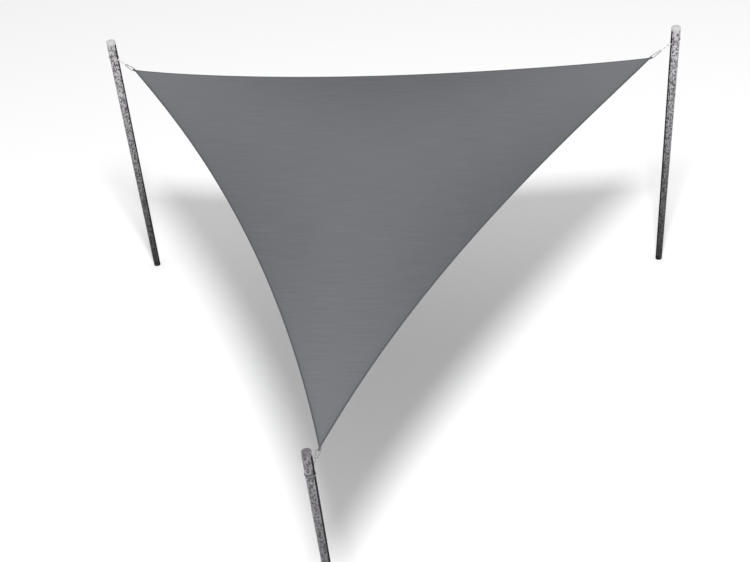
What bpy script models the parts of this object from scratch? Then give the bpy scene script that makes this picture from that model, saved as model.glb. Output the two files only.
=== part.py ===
"""Triangular shade sail stretched between three leaning, narrowing tube posts.

The sail's cloth has a folded hem along its three hollow-cut edges. Each corner ends in a webbing
tab, a steel ring and a short rope, which is tied round the post. Metres, +Z up, floor at Z = 0.
The origin is on the floor, in the middle of the box that holds the posts and the sail.
"""

import math
from dataclasses import dataclass

import bmesh
import bpy
from mathutils import Matrix, Vector

# ---------------------------------------------------------------- gaps between touching pieces
GAP = 0.0003
FACET_ALLOWANCE = 0.0003

# ---------------------------------------------------------------- cloth
SAIL_WIDTH = 5.0
SAIL_DEPTH = 6.0
CORNER_HEIGHT = 2.30
CLOTH_THICKNESS = 0.002
HEM_THICKNESS = 0.004
HEM_WIDTH = 0.030
HEM_STEP = 0.002
CLOTH_DIVISIONS = 30

# How far the stretched cloth hangs below its corners.
EDGE_DROOP = 0.016
MIDDLE_DROOP = 0.030
CORNER_LIFT = 0.014
CORNER_LIFT_REACH = 0.06

# ---------------------------------------------------------------- posts
# The tubes narrow towards the foot.
POST_TOP_RADIUS = 0.04445
POST_FOOT_RADIUS = 0.03175
POST_WALL = 0.0032
POST_HEIGHT = 2.488
POST_LEAN = math.radians(4.5)
POST_REACH = 0.290
POST_SIDES = 48
# The cap's side, from its foot up: (share of the post's radius, height).
CAP_PROFILE = (
    (1.0, 0.0),
    (1.0, 0.029),
    (0.985, 0.0325),
    (0.94, 0.0355),
    (0.86, 0.0375),
    (0.70, 0.0390),
    (0.40, 0.0398),
)

# Dark strip that runs down each post, with its width at the top.
STRIP_WIDTH = 0.024
STRIP_THICKNESS = 0.0012
STRIP_FOOT_CLEARANCE = 0.006
STRIP_SIDES = 6

# ---------------------------------------------------------------- corner fittings
TAB_WIDTH = 0.020
TAB_LENGTH = 0.034
TAB_THICKNESS = 0.002
TAB_CLEARANCE = 0.0009
TAB_FOLD_START = 0.009
TAB_FOLD_TURN = math.radians(120)
TAB_FOLD_STEPS = 12
RING_WIRE_RADIUS = 0.004
RING_LENGTH = 0.117
RING_HALF_WIDTH = 0.020
RING_BAR_ROUNDING = 0.006
RING_APEX_ROUNDING = 0.008
BAR_OUT = 0.006
TAB_LOOP_RADIUS = RING_WIRE_RADIUS + GAP + FACET_ALLOWANCE + TAB_THICKNESS / 2

# ---------------------------------------------------------------- ropes
ROPE_RADIUS = 0.003
ROPE_POINT_SPACING = 0.0072
EYE_RADIUS = 0.0123
EYE_CLEARANCE = 0.0009
LEG_SPACING = 0.0036
LEG_LEAD = 0.003
LEG_END_INSET = 0.001
# Where each leg of the rope opens out past its seizing: (distance along the line, distance off it).
EYE_SHOULDER = ((0.145, 0.0068), (0.134, 0.0108))
POST_SHOULDER = ((0.2300, 0.0073), (0.2355, 0.0135))
SEIZING_WALL = 0.0014
SEIZING_LENGTH = 0.017
RING_SEIZING_START = 0.157
POST_SEIZING_START = 0.2025
LOOP_OPENING = math.radians(30)
LOOP_STEP = math.radians(10)
STRIP_LIFT = STRIP_THICKNESS + GAP + FACET_ALLOWANCE
STRIP_LIFT_FULL = math.radians(21)
STRIP_LIFT_FALL = math.radians(14)


@dataclass(frozen=True)
class Corner:
    """One corner of the sail: where it is, how its post and rope stand to it, and how stout the post is."""

    name: str
    x: float
    y: float
    post_bearing: float
    lean_bearing: float
    strip_bearing: float
    rope_pitch: float
    post_share: float


@dataclass(frozen=True)
class Edge:
    """A hollow-cut edge between two corners: its greatest hollow, and the lean of that hollow."""

    start: int
    end: int
    hollow: float
    skew: float


@dataclass(frozen=True)
class Finish:
    """A material's plain values."""

    name: str
    color: tuple
    roughness: float
    metallic: float


BACK_Y = SAIL_DEPTH / 3
FRONT_Y = -2 * SAIL_DEPTH / 3

# Bearings and pitches are in degrees. A bearing turns from +X towards +Y. The post's share is of the
# radii above: the front post is the thinnest.
CORNERS = (
    Corner(
        name="left",
        x=-SAIL_WIDTH / 2,
        y=BACK_Y,
        post_bearing=141.3,
        lean_bearing=141.3,
        strip_bearing=-14.6,
        rope_pitch=10.5,
        post_share=1.0,
    ),
    Corner(
        name="right",
        x=SAIL_WIDTH / 2,
        y=BACK_Y,
        post_bearing=38.7,
        lean_bearing=38.7,
        strip_bearing=207.7,
        rope_pitch=17.0,
        post_share=1.0,
    ),
    Corner(
        name="front",
        x=0.0,
        y=FRONT_Y,
        post_bearing=-96.0,
        lean_bearing=-118.0,
        strip_bearing=-19.3,
        rope_pitch=2.5,
        post_share=0.856,
    ),
)

EDGES = (
    Edge(start=0, end=1, hollow=0.172, skew=-0.041),
    Edge(start=1, end=2, hollow=0.223, skew=0.053),
    Edge(start=2, end=0, hollow=0.258, skew=-0.007),
)

CLOTH_GREY = Finish("sail_cloth_grey", (0.178, 0.184, 0.198), roughness=0.85, metallic=0.0)
WEBBING_DARK = Finish("webbing_dark_grey", (0.070, 0.072, 0.080), roughness=0.9, metallic=0.0)
RING_STEEL = Finish("ring_steel", (0.55, 0.55, 0.56), roughness=0.3, metallic=1.0)
ROPE_WHITE = Finish("rope_off_white", (0.80, 0.79, 0.76), roughness=0.8, metallic=0.0)
SEIZING_TWINE = Finish("seizing_twine", (0.62, 0.61, 0.58), roughness=0.85, metallic=0.0)
GALVANISED = Finish("galvanised_steel", (0.36, 0.35, 0.37), roughness=0.5, metallic=0.8)
GALVANISED_DARK = Finish("galvanised_steel_dark", (0.19, 0.18, 0.20), roughness=0.55, metallic=0.8)
CAP_GREY = Finish("cap_light_grey", (0.62, 0.62, 0.62), roughness=0.6, metallic=0.0)
CAP_DARK = Finish("cap_dark_grey", (0.19, 0.18, 0.20), roughness=0.6, metallic=0.0)
STRIP_BLACK = Finish("strip_black", (0.015, 0.015, 0.016), roughness=0.6, metallic=0.0)

# The post and the cap of each corner; the front ones are darker than the others.
POST_FINISHES = {"left": GALVANISED, "right": GALVANISED, "front": GALVANISED_DARK}
CAP_FINISHES = {"left": CAP_GREY, "right": CAP_GREY, "front": CAP_DARK}


def make_material(finish):
    """A Principled material with the finish's colour, roughness and metallic value."""
    material = bpy.data.materials.new(finish.name)
    material.use_nodes = True
    shader = material.node_tree.nodes["Principled BSDF"]
    shader.inputs["Base Color"].default_value = (*finish.color, 1.0)
    shader.inputs["Roughness"].default_value = finish.roughness
    shader.inputs["Metallic"].default_value = finish.metallic
    material.diffuse_color = (*finish.color, 1.0)
    return material


def add_object(name, data, material, collection, parent):
    """Links a mesh or curve as a named object with one material."""
    data.materials.append(material)
    if isinstance(data, bpy.types.Mesh):
        data.shade_smooth()
        data.set_sharp_from_angle(angle=math.radians(35))
    made = bpy.data.objects.new(name, data)
    made.parent = parent
    collection.objects.link(made)
    return made


def add_empty(name, matrix, collection, parent=None):
    """An empty that carries a group of pieces."""
    empty = bpy.data.objects.new(name, None)
    empty.empty_display_size = 0.1
    empty.parent = parent
    empty.matrix_basis = matrix
    collection.objects.link(empty)
    return empty


def mesh_from(bm, name):
    """Turns a bmesh into a named mesh with its normals facing out."""
    bmesh.ops.recalc_face_normals(bm, faces=bm.faces)
    mesh = bpy.data.meshes.new(name)
    bm.to_mesh(mesh)
    bm.free()
    return mesh


# ---------------------------------------------------------------- where things are
def level_direction(bearing):
    """Level direction of a bearing."""
    return Vector((math.cos(math.radians(bearing)), math.sin(math.radians(bearing)), 0.0))


def outward(corner):
    """Level direction from the sail's corner to its post."""
    return level_direction(corner.post_bearing)


def post_axis(corner, height):
    """The point of the leaning post's axis at a height."""
    lean = level_direction(corner.lean_bearing) * math.tan(POST_LEAN)
    beside_corner = Vector((corner.x, corner.y, CORNER_HEIGHT)) + outward(corner) * POST_REACH
    return beside_corner + (lean + Vector((0.0, 0.0, 1.0))) * (height - CORNER_HEIGHT)


def post_radius(corner, height):
    """The outer radius of a post at a height."""
    radius = POST_FOOT_RADIUS + (POST_TOP_RADIUS - POST_FOOT_RADIUS) * height / POST_HEIGHT
    return corner.post_share * radius


def top_radius(corner):
    """The outer radius of a post at its top, and of its cap."""
    return post_radius(corner, POST_HEIGHT)


def middle_of_box():
    """The level middle of the box round the posts, whose tops reach furthest."""
    top = POST_HEIGHT + GAP
    left, right, front = (post_axis(corner, top) for corner in CORNERS)
    back_y = max(left.y, right.y) + POST_TOP_RADIUS
    front_y = front.y - top_radius(CORNERS[-1])
    return Vector(((left.x + right.x) / 2, (back_y + front_y) / 2, 0.0))


def corner_point(corner):
    """The sail's corner in plan."""
    return Vector((corner.x, corner.y))


def shares(x, y):
    """The three corners' shares in a plan point: 1 at its own corner, 0 on the far side."""
    left, right, front = (corner_point(corner) for corner in CORNERS)
    twice_area = (right - left).cross(front - left)
    point = Vector((x, y))
    at_left = (right - point).cross(front - point) / twice_area
    at_right = (front - point).cross(left - point) / twice_area
    return at_left, at_right, 1.0 - at_left - at_right


def cloth_height(x, y):
    """Height of the cloth's middle surface: a shallow hollow that lifts towards the corners."""
    left, right, front = shares(x, y)
    pairs = left * right + right * front + front * left
    lift = sum(math.exp(-(1.0 - share) / CORNER_LIFT_REACH) for share in (left, right, front))
    droop = EDGE_DROOP * 4 * pairs + MIDDLE_DROOP * 27 * left * right * front
    return CORNER_HEIGHT - droop - CORNER_LIFT * (1.0 - lift)


def cloth_pitch(corner):
    """How steeply the cloth rises to a corner, along the line to its post."""
    step = outward(corner) * TAB_LENGTH
    inner = cloth_height(corner.x - step.x, corner.y - step.y)
    return math.atan2(CORNER_HEIGHT - inner, TAB_LENGTH)


def pitched_frame(corner, pitch, origin):
    """A frame with +X up the line to the post, +Y level across it and +Z square to both."""
    along = outward(corner) * math.cos(pitch) + Vector((0.0, 0.0, math.sin(pitch)))
    across = Vector((0.0, 0.0, 1.0)).cross(outward(corner))
    turn = Matrix((along, across, along.cross(across))).transposed()
    return Matrix.Translation(origin) @ turn.to_4x4()


def bar_point(corner):
    """Where the ring's bar runs through the tab, just outside the cloth's tip."""
    pitch = cloth_pitch(corner)
    tip = Vector((corner.x, corner.y, CORNER_HEIGHT))
    return tip + outward(corner) * BAR_OUT * math.cos(pitch) + Vector((0.0, 0.0, BAR_OUT * math.sin(pitch)))


# ---------------------------------------------------------------- the cloth's outline
def edge_tangent(edge, from_start):
    """Plan direction of the cloth's edge as it leaves one of its corners."""
    start, end = corner_point(CORNERS[edge.start]), corner_point(CORNERS[edge.end])
    chord = end - start
    inward = Vector((chord.y, -chord.x)).normalized()
    if from_start:
        return (chord + inward * 4 * (edge.hollow - edge.skew)).normalized()
    return (-chord + inward * 4 * (edge.hollow + edge.skew)).normalized()


def inset_corner(index, inset):
    """The plan point that lies the same distance inside both edges that meet at a corner."""
    leaving, arriving = EDGES[index], EDGES[index - 1]
    first = edge_tangent(leaving, from_start=True)
    second = edge_tangent(arriving, from_start=False)
    half_angle = first.angle(second) / 2
    return corner_point(CORNERS[index]) + (first + second).normalized() * inset / math.sin(half_angle)


def patch_point(tips, weights):
    """A plan point of the hollow-sided triangle with these tips, from its three weights."""
    point = sum((tip * weight for tip, weight in zip(tips, weights)), Vector((0.0, 0.0)))
    for edge in EDGES:
        full_chord = corner_point(CORNERS[edge.end]) - corner_point(CORNERS[edge.start])
        chord = tips[edge.end] - tips[edge.start]
        shrink = (chord.length / full_chord.length) ** 2
        inward = Vector((chord.y, -chord.x)).normalized()
        start, end = weights[edge.start], weights[edge.end]
        point += inward * 4 * start * end * shrink * (edge.hollow + edge.skew * (end - start))
    return point


def border_weights():
    """Weights of the points that go once round the border, edge after edge."""
    walk = []
    for edge in EDGES:
        for step in range(CLOTH_DIVISIONS):
            weights = [0.0, 0.0, 0.0]
            weights[edge.end] = step / CLOTH_DIVISIONS
            weights[edge.start] = 1.0 - weights[edge.end]
            walk.append(tuple(weights))
    return walk


def add_border_ring(bm, inset):
    """A closed ring of vertices on the cloth, the same distance inside its edge all round."""
    tips = [inset_corner(index, inset) for index in range(len(CORNERS))]
    ring = []
    for weights in border_weights():
        x, y = patch_point(tips, weights)
        ring.append(bm.verts.new((x, y, cloth_height(x, y))))
    return ring


def add_inner_patch(bm, ring, inset):
    """Fills the triangle inside a border ring with rows of points and joins them by triangles."""
    tips = [inset_corner(index, inset) for index in range(len(CORNERS))]
    steps = CLOTH_DIVISIONS
    on_ring = {}
    for vert, weights in zip(ring, border_weights()):
        on_ring[tuple(round(weight * steps) for weight in weights)] = vert

    def lattice(left, right):
        front = steps - left - right
        key = (left, right, front)
        if key not in on_ring:
            x, y = patch_point(tips, (left / steps, right / steps, front / steps))
            on_ring[key] = bm.verts.new((x, y, cloth_height(x, y)))
        return on_ring[key]

    for left in range(steps):
        for right in range(steps - left):
            corner = lattice(left, right)
            bm.faces.new((corner, lattice(left + 1, right), lattice(left, right + 1)))
            if left + right < steps - 1:
                far = lattice(left + 1, right + 1)
                bm.faces.new((lattice(left + 1, right), far, lattice(left, right + 1)))


def join_rings(bm, outer, inner):
    """Joins two border rings of the same count by a band of faces."""
    count = len(outer)
    for index in range(count):
        following = (index + 1) % count
        bm.faces.new((outer[index], outer[following], inner[following], inner[index]))


def build_cloth(material, collection, parent):
    """The sail: a hollow-cut triangle of cloth with a thicker folded hem."""
    bm = bmesh.new()
    edge_ring = add_border_ring(bm, inset=0.0)
    hem_ring = add_border_ring(bm, inset=HEM_WIDTH)
    cloth_ring = add_border_ring(bm, inset=HEM_WIDTH + HEM_STEP)
    join_rings(bm, edge_ring, hem_ring)
    join_rings(bm, hem_ring, cloth_ring)
    add_inner_patch(bm, cloth_ring, inset=HEM_WIDTH + HEM_STEP)
    sail = add_object("sail_cloth", mesh_from(bm, "sail_cloth"), material, collection, parent)
    hem = sail.vertex_groups.new(name="hem")
    hem.add(list(range(len(edge_ring) + len(hem_ring))), 1.0, "REPLACE")
    shell = sail.modifiers.new("cloth_thickness", "SOLIDIFY")
    shell.thickness = HEM_THICKNESS
    shell.offset = 0.0
    shell.use_even_offset = True
    shell.vertex_group = hem.name
    shell.thickness_vertex_group = CLOTH_THICKNESS / HEM_THICKNESS
    return sail


# ---------------------------------------------------------------- posts
def build_post(corner, material, collection, parent):
    """A narrowing tube with level ends, set up along its lean from a ring-shaped foot."""
    foot = post_axis(corner, 0.0)
    bm = bmesh.new()
    rings = []
    for height, inset in ((0.0, 0.0), (POST_HEIGHT, 0.0), (POST_HEIGHT, POST_WALL), (0.0, POST_WALL)):
        radius = post_radius(corner, height) - inset
        ring = bmesh.ops.create_circle(bm, segments=POST_SIDES, radius=radius)["verts"]
        bmesh.ops.translate(bm, verts=ring, vec=post_axis(corner, height) - foot)
        rings.append(ring)
    for ring, following in zip(rings, rings[1:] + rings[:1]):
        join_rings(bm, ring, following)
    name = f"post_{corner.name}"
    post = add_object(name, mesh_from(bm, name), material, collection, parent)
    post.location = foot
    return post


def build_cap(corner, material, collection, parent):
    """The cap that closes the post's top: a straight side, a rounded edge and a nearly flat top."""
    bm = bmesh.new()
    rings = []
    for share, height in CAP_PROFILE:
        radius = top_radius(corner) * share
        ring = bmesh.ops.create_circle(bm, segments=POST_SIDES, radius=radius)["verts"]
        bmesh.ops.translate(bm, verts=ring, vec=(0.0, 0.0, height))
        rings.append(ring)
    for ring, following in zip(rings, rings[1:]):
        join_rings(bm, ring, following)
    bm.faces.new(rings[0])
    bm.faces.new(rings[-1])
    name = f"post_cap_{corner.name}"
    cap = add_object(name, mesh_from(bm, name), material, collection, parent)
    cap.location = post_axis(corner, POST_HEIGHT + GAP)
    return cap


def build_strip(corner, material, collection, parent):
    """The dark strip along one side of the post, from just above the floor to the cap."""
    foot = post_axis(corner, STRIP_FOOT_CLEARANCE)
    off_post = GAP + FACET_ALLOWANCE + STRIP_THICKNESS / 2
    facing = math.radians(corner.strip_bearing)
    half_turn = STRIP_WIDTH / (top_radius(corner) + off_post) / 2
    bm = bmesh.new()
    ends = []
    for height in (STRIP_FOOT_CLEARANCE, POST_HEIGHT):
        middle = post_axis(corner, height) - foot
        radius = post_radius(corner, height) + off_post
        turns = [facing + half_turn * (2 * side / STRIP_SIDES - 1) for side in range(STRIP_SIDES + 1)]
        arc = [Vector((radius * math.cos(turn), radius * math.sin(turn), 0.0)) for turn in turns]
        ends.append([bm.verts.new(middle + point) for point in arc])
    low, high = ends
    for side in range(STRIP_SIDES):
        bm.faces.new((low[side], low[side + 1], high[side + 1], high[side]))
    name = f"dark_strip_{corner.name}"
    strip = add_object(name, mesh_from(bm, name), material, collection, parent)
    strip.location = foot
    shell = strip.modifiers.new("strip_thickness", "SOLIDIFY")
    shell.thickness = STRIP_THICKNESS
    shell.offset = 0.0
    return strip


# ---------------------------------------------------------------- corner fittings
def build_tab(corner, material, collection, parent):
    """Webbing folded round the ring's bar, its two ends laid over and under the cloth's corner."""
    half_gap = HEM_THICKNESS / 2 + TAB_CLEARANCE + TAB_THICKNESS / 2
    line = [(-TAB_LENGTH, -half_gap), (-TAB_FOLD_START, -half_gap)]
    for step in range(TAB_FOLD_STEPS + 1):
        turn = TAB_FOLD_TURN * (2 * step / TAB_FOLD_STEPS - 1)
        line.append((TAB_LOOP_RADIUS * math.cos(turn), TAB_LOOP_RADIUS * math.sin(turn)))
    line += [(-TAB_FOLD_START, half_gap), (-TAB_LENGTH, half_gap)]
    bm = bmesh.new()
    side = [bm.verts.new((x, -TAB_WIDTH / 2, z)) for x, z in line]
    edges = [bm.edges.new(pair) for pair in zip(side, side[1:])]
    swept = bmesh.ops.extrude_edge_only(bm, edges=edges)["geom"]
    moved = [item for item in swept if isinstance(item, bmesh.types.BMVert)]
    bmesh.ops.translate(bm, verts=moved, vec=(0.0, TAB_WIDTH, 0.0))
    name = f"corner_tab_{corner.name}"
    tab = add_object(name, mesh_from(bm, name), material, collection, parent)
    shell = tab.modifiers.new("webbing_thickness", "SOLIDIFY")
    shell.thickness = TAB_THICKNESS
    shell.offset = 0.0
    return tab


def rounded_outline(circles, step):
    """The closed line drawn tight round several (x, y, radius) circles, anticlockwise."""
    normals = []
    for index, (x, y, radius) in enumerate(circles):
        next_x, next_y, next_radius = circles[(index + 1) % len(circles)]
        away = math.atan2(next_y - y, next_x - x)
        distance = math.hypot(next_x - x, next_y - y)
        normals.append(away - math.pi / 2 + math.asin((radius - next_radius) / distance))
    points = []
    for index, (x, y, radius) in enumerate(circles):
        first = normals[index - 1]
        sweep = (normals[index] - first) % (2 * math.pi)
        count = max(1, math.ceil(sweep / step))
        for turn in range(count + 1):
            angle = first + sweep * turn / count
            points.append((x + radius * math.cos(angle), y + radius * math.sin(angle)))
    return points


def build_tube(name, points, radius, resolution, cyclic, material, collection, parent):
    """A round wire or rope along a line of points, with filled ends where it is open."""
    curve = bpy.data.curves.new(name, "CURVE")
    curve.dimensions = "3D"
    curve.bevel_depth = radius
    curve.bevel_resolution = resolution
    curve.use_fill_caps = not cyclic
    spline = curve.splines.new("POLY")
    spline.points.add(len(points) - 1)
    for slot, point in zip(spline.points, points):
        slot.co = (*point, 1.0)
    spline.use_cyclic_u = cyclic
    return add_object(name, curve, material, collection, parent)


def build_ring(corner, material, collection, parent):
    """The pear-shaped ring: a straight bar in the tab, narrowing to the rope's end."""
    bar_side = RING_HALF_WIDTH - RING_BAR_ROUNDING
    circles = (
        (RING_BAR_ROUNDING, bar_side, RING_BAR_ROUNDING),
        (RING_BAR_ROUNDING, -bar_side, RING_BAR_ROUNDING),
        (RING_LENGTH - RING_APEX_ROUNDING, 0.0, RING_APEX_ROUNDING),
    )
    outline = rounded_outline(circles, step=math.radians(18))
    points = [(x, y, 0.0) for x, y in outline]
    name = f"ring_{corner.name}"
    return build_tube(name, points, RING_WIRE_RADIUS, 4, True, material, collection, parent)


# ---------------------------------------------------------------- ropes
def ring_leg(side):
    """One leg of the rope's eye, from inside its seizing to the side of the eye."""
    return (
        (RING_SEIZING_START + SEIZING_LENGTH - LEG_END_INSET, 0.0, side * LEG_SPACING),
        (RING_SEIZING_START, 0.0, side * LEG_SPACING),
        (RING_SEIZING_START - LEG_LEAD, 0.0, side * LEG_SPACING),
        *((along, 0.0, side * off) for along, off in EYE_SHOULDER),
    )


def post_leg(side):
    """One leg of the post loop, from inside its seizing towards the post's side."""
    return (
        (POST_SEIZING_START + LEG_END_INSET, side * LEG_SPACING, 0.0),
        (POST_SEIZING_START + SEIZING_LENGTH, side * LEG_SPACING, 0.0),
        (POST_SEIZING_START + SEIZING_LENGTH + LEG_LEAD, side * LEG_SPACING, 0.0),
        *((along, side * off, 0.0) for along, off in POST_SHOULDER),
    )


def standing_part():
    """The single length between the two seizings, which crosses from under the line to beside it."""
    leaves = RING_SEIZING_START + SEIZING_LENGTH
    arrives = POST_SEIZING_START
    return (
        (leaves, 0.0, -LEG_SPACING),
        (leaves + LEG_LEAD, 0.0, -LEG_SPACING),
        ((leaves + arrives) / 2, -LEG_SPACING / 2, -LEG_SPACING / 2),
        (arrives - LEG_LEAD, -LEG_SPACING, 0.0),
        (arrives, -LEG_SPACING, 0.0),
    )


def eye_nose():
    """The rope's turn round the ring's wire at its narrow end."""
    middle = RING_LENGTH - RING_WIRE_RADIUS - EYE_CLEARANCE - ROPE_RADIUS + EYE_RADIUS
    turns = [math.radians(90 + 45 * step) for step in range(5)]
    return [(middle + EYE_RADIUS * math.cos(turn), 0.0, EYE_RADIUS * math.sin(turn)) for turn in turns]


def strip_lift(corner, turn):
    """How much further out the rope lies where it crosses the post's dark strip."""
    off_strip = corner.post_bearing + 180 + math.degrees(turn) - corner.strip_bearing
    away = abs(math.remainder(math.radians(off_strip), 2 * math.pi))
    fall = min(max((away - STRIP_LIFT_FULL) / STRIP_LIFT_FALL, 0.0), 1.0)
    return STRIP_LIFT * (1 - fall * fall * (3 - 2 * fall))


def post_loop(corner):
    """The rope's turn round the leaning post, in the pitched plane that its pull gives it."""
    reach = POST_REACH - BAR_OUT
    pitch = math.radians(corner.rope_pitch)
    lean_turn = math.radians(corner.lean_bearing - corner.post_bearing)
    lean_along = math.tan(POST_LEAN) * math.cos(lean_turn)
    lean_across = math.tan(POST_LEAN) * math.sin(lean_turn)
    count = round((2 * math.pi - 2 * LOOP_OPENING) / LOOP_STEP)
    points = []
    for step in range(count + 1):
        turn = LOOP_OPENING + LOOP_STEP * step
        rise = (reach - top_radius(corner) * math.cos(turn)) * math.tan(pitch)
        seat = post_radius(corner, bar_point(corner).z + rise) + GAP + ROPE_RADIUS + FACET_ALLOWANCE
        radius = seat + strip_lift(corner, turn)
        level = (reach - radius * math.cos(turn)) / (1.0 - lean_along * math.tan(pitch))
        across = lean_across * level * math.tan(pitch) - radius * math.sin(turn)
        points.append((level / math.cos(pitch), across, 0.0))
    return points


def rope_route(corner):
    """The rope's own points in its pitched frame: eye, standing part, then the post's loop."""
    route = list(ring_leg(1))
    route += eye_nose()
    route += reversed(ring_leg(-1)[1:])
    route += standing_part()
    route += post_leg(-1)[1:]
    route += post_loop(corner)
    route += reversed(post_leg(1))
    return [Vector(point) for point in route]


def smooth_line(route, spacing):
    """Reads evenly spaced points from a smooth curve through the route's points."""
    fine = []
    padded = [2 * route[0] - route[1], *route, 2 * route[-1] - route[-2]]
    samples = 12
    for before, start, end, after in zip(padded, padded[1:], padded[2:], padded[3:]):
        length = (end - start).length
        leaving = ((end - start) / length + (start - before).normalized()) * length / 2
        arriving = ((end - start) / length + (after - end).normalized()) * length / 2
        for step in range(samples):
            t = step / samples
            bend = leaving * (t - 2 * t**2 + t**3) + arriving * (t**3 - t**2)
            fine.append(start + (end - start) * (3 * t**2 - 2 * t**3) + bend)
    fine.append(route[-1])
    travelled = [0.0]
    for start, end in zip(fine, fine[1:]):
        travelled.append(travelled[-1] + (end - start).length)
    count = round(travelled[-1] / spacing)
    points, index = [], 0
    for step in range(count + 1):
        wanted = travelled[-1] * step / count
        while index < len(fine) - 2 and travelled[index + 1] < wanted:
            index += 1
        part = (wanted - travelled[index]) / (travelled[index + 1] - travelled[index])
        points.append(fine[index].lerp(fine[index + 1], part))
    return points


def build_rope(corner, material, collection, parent):
    """The rope that ties the ring to the post."""
    points = smooth_line(rope_route(corner), ROPE_POINT_SPACING)
    name = f"tie_rope_{corner.name}"
    return build_tube(name, points, ROPE_RADIUS, 2, False, material, collection, parent)


def build_seizing(name, start, upright, material, collection, parent):
    """The twine that binds two legs of rope side by side, as one sleeve with round sides."""
    clear = ROPE_RADIUS + GAP + FACET_ALLOWANCE
    end_steps = math.radians(30)
    bm = bmesh.new()
    rims = []
    for radius in (clear, clear + SEIZING_WALL):
        outline = rounded_outline(((LEG_SPACING, 0.0, radius), (-LEG_SPACING, 0.0, radius)), end_steps)
        verts = [bm.verts.new((0.0, across, up)) for across, up in outline]
        rims += [bm.edges.new((verts[index - 1], verts[index])) for index in range(len(verts))]
    ring = bmesh.ops.bridge_loops(bm, edges=rims)["faces"]
    swept = bmesh.ops.extrude_face_region(bm, geom=ring, use_keep_orig=True)["geom"]
    moved = [item for item in swept if isinstance(item, bmesh.types.BMVert)]
    bmesh.ops.translate(bm, verts=moved, vec=(SEIZING_LENGTH, 0.0, 0.0))
    seizing = add_object(name, mesh_from(bm, name), material, collection, parent)
    seizing.location = (start, 0.0, 0.0)
    if upright:
        seizing.rotation_euler = (math.pi / 2, 0.0, 0.0)
    return seizing


def build_corner(corner, materials, collection, base):
    """Everything that one corner of the sail needs, from its webbing tab to its post."""
    cloth_frame = pitched_frame(corner, cloth_pitch(corner), bar_point(corner))
    rope_frame = pitched_frame(corner, math.radians(corner.rope_pitch), bar_point(corner))
    at_cloth = add_empty(f"cloth_line_{corner.name}", cloth_frame, collection, base)
    at_rope = add_empty(f"rope_line_{corner.name}", rope_frame, collection, base)
    build_tab(corner, materials[WEBBING_DARK], collection, at_cloth)
    build_ring(corner, materials[RING_STEEL], collection, at_rope)
    build_rope(corner, materials[ROPE_WHITE], collection, at_rope)
    twine = materials[SEIZING_TWINE]
    build_seizing(f"ring_seizing_{corner.name}", RING_SEIZING_START, True, twine, collection, at_rope)
    build_seizing(f"post_seizing_{corner.name}", POST_SEIZING_START, False, twine, collection, at_rope)
    build_post(corner, materials[POST_FINISHES[corner.name]], collection, base)
    build_cap(corner, materials[CAP_FINISHES[corner.name]], collection, base)
    build_strip(corner, materials[STRIP_BLACK], collection, base)


def clear_scene():
    """Removes what the scene already holds."""
    for item in list(bpy.data.objects):
        bpy.data.objects.remove(item)


def main():
    """Builds the sail, its corner fittings and its posts round the floor's origin."""
    clear_scene()
    collection = bpy.data.collections.new("shade_sail")
    bpy.context.scene.collection.children.link(collection)
    finishes = (
        CLOTH_GREY,
        WEBBING_DARK,
        RING_STEEL,
        ROPE_WHITE,
        SEIZING_TWINE,
        GALVANISED,
        GALVANISED_DARK,
        CAP_GREY,
        CAP_DARK,
        STRIP_BLACK,
    )
    materials = {finish: make_material(finish) for finish in finishes}
    base = add_empty("shade_sail_base", Matrix.Translation(-middle_of_box()), collection)
    build_cloth(materials[CLOTH_GREY], collection, base)
    for corner in CORNERS:
        build_corner(corner, materials, collection, base)
    bpy.context.view_layer.update()


main()
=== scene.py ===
"""The looks of a triangular shade sail that three leaning tube posts hold taut.

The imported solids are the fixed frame. Each piece below is built over its own solid, in metres and in
the same frame: +Z up, floor at Z = 0, +Y from the front post towards the short back edge.
"""

import logging
import math
from dataclasses import dataclass
from enum import Enum
from typing import Any, Callable, Iterable, Sequence

import bmesh
import bpy
from mathutils import Matrix, Vector


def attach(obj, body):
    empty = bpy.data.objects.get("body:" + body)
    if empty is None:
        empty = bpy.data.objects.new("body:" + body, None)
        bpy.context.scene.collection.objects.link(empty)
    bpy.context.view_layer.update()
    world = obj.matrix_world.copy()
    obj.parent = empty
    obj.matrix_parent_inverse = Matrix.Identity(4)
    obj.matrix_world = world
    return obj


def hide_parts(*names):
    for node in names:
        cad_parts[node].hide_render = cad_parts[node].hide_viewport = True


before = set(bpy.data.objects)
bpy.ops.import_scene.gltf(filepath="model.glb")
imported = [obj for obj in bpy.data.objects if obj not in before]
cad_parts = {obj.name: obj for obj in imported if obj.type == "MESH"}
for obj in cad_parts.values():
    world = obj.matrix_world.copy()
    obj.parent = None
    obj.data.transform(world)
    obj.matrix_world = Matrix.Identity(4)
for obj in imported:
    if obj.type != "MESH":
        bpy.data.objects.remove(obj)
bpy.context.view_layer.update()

LOG = logging.getLogger("shade_sail")
BODY = "root"
FULL_TURN = 2 * math.pi
NOISE_RANGE = (0.3, 0.7)

Colour = tuple[float, float, float]
Range = tuple[float, float]
Spot = tuple[float, float]
RoutePoint = tuple[float, float, float]
Socket = bpy.types.NodeSocket
Material = bpy.types.Material
Mesh = bpy.types.Mesh
Piece = bpy.types.Object


# ---------------------------------------------------------------- choices
class Side(Enum):
    """The cloth's or the webbing's two faces, as the sign of their height."""

    TOP = 1.0
    UNDER = -1.0


class Bind(Enum):
    """How a seizing holds its two legs of rope: one above the other, or side by side."""

    UPRIGHT = "ring_seizing"
    LEVEL = "post_seizing"


class Slot(Enum):
    """The record's material slots."""

    CLOTH = "sail_cloth"
    WEBBING = "corner_webbing"
    RING = "ring_steel"
    ROPE = "rope"
    SEIZING = "seizing"
    POST = "post_steel"
    POST_DARK = "post_steel_dark"
    CAP = "post_cap"
    CAP_DARK = "post_cap_dark"
    STRIP = "post_strip"


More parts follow.
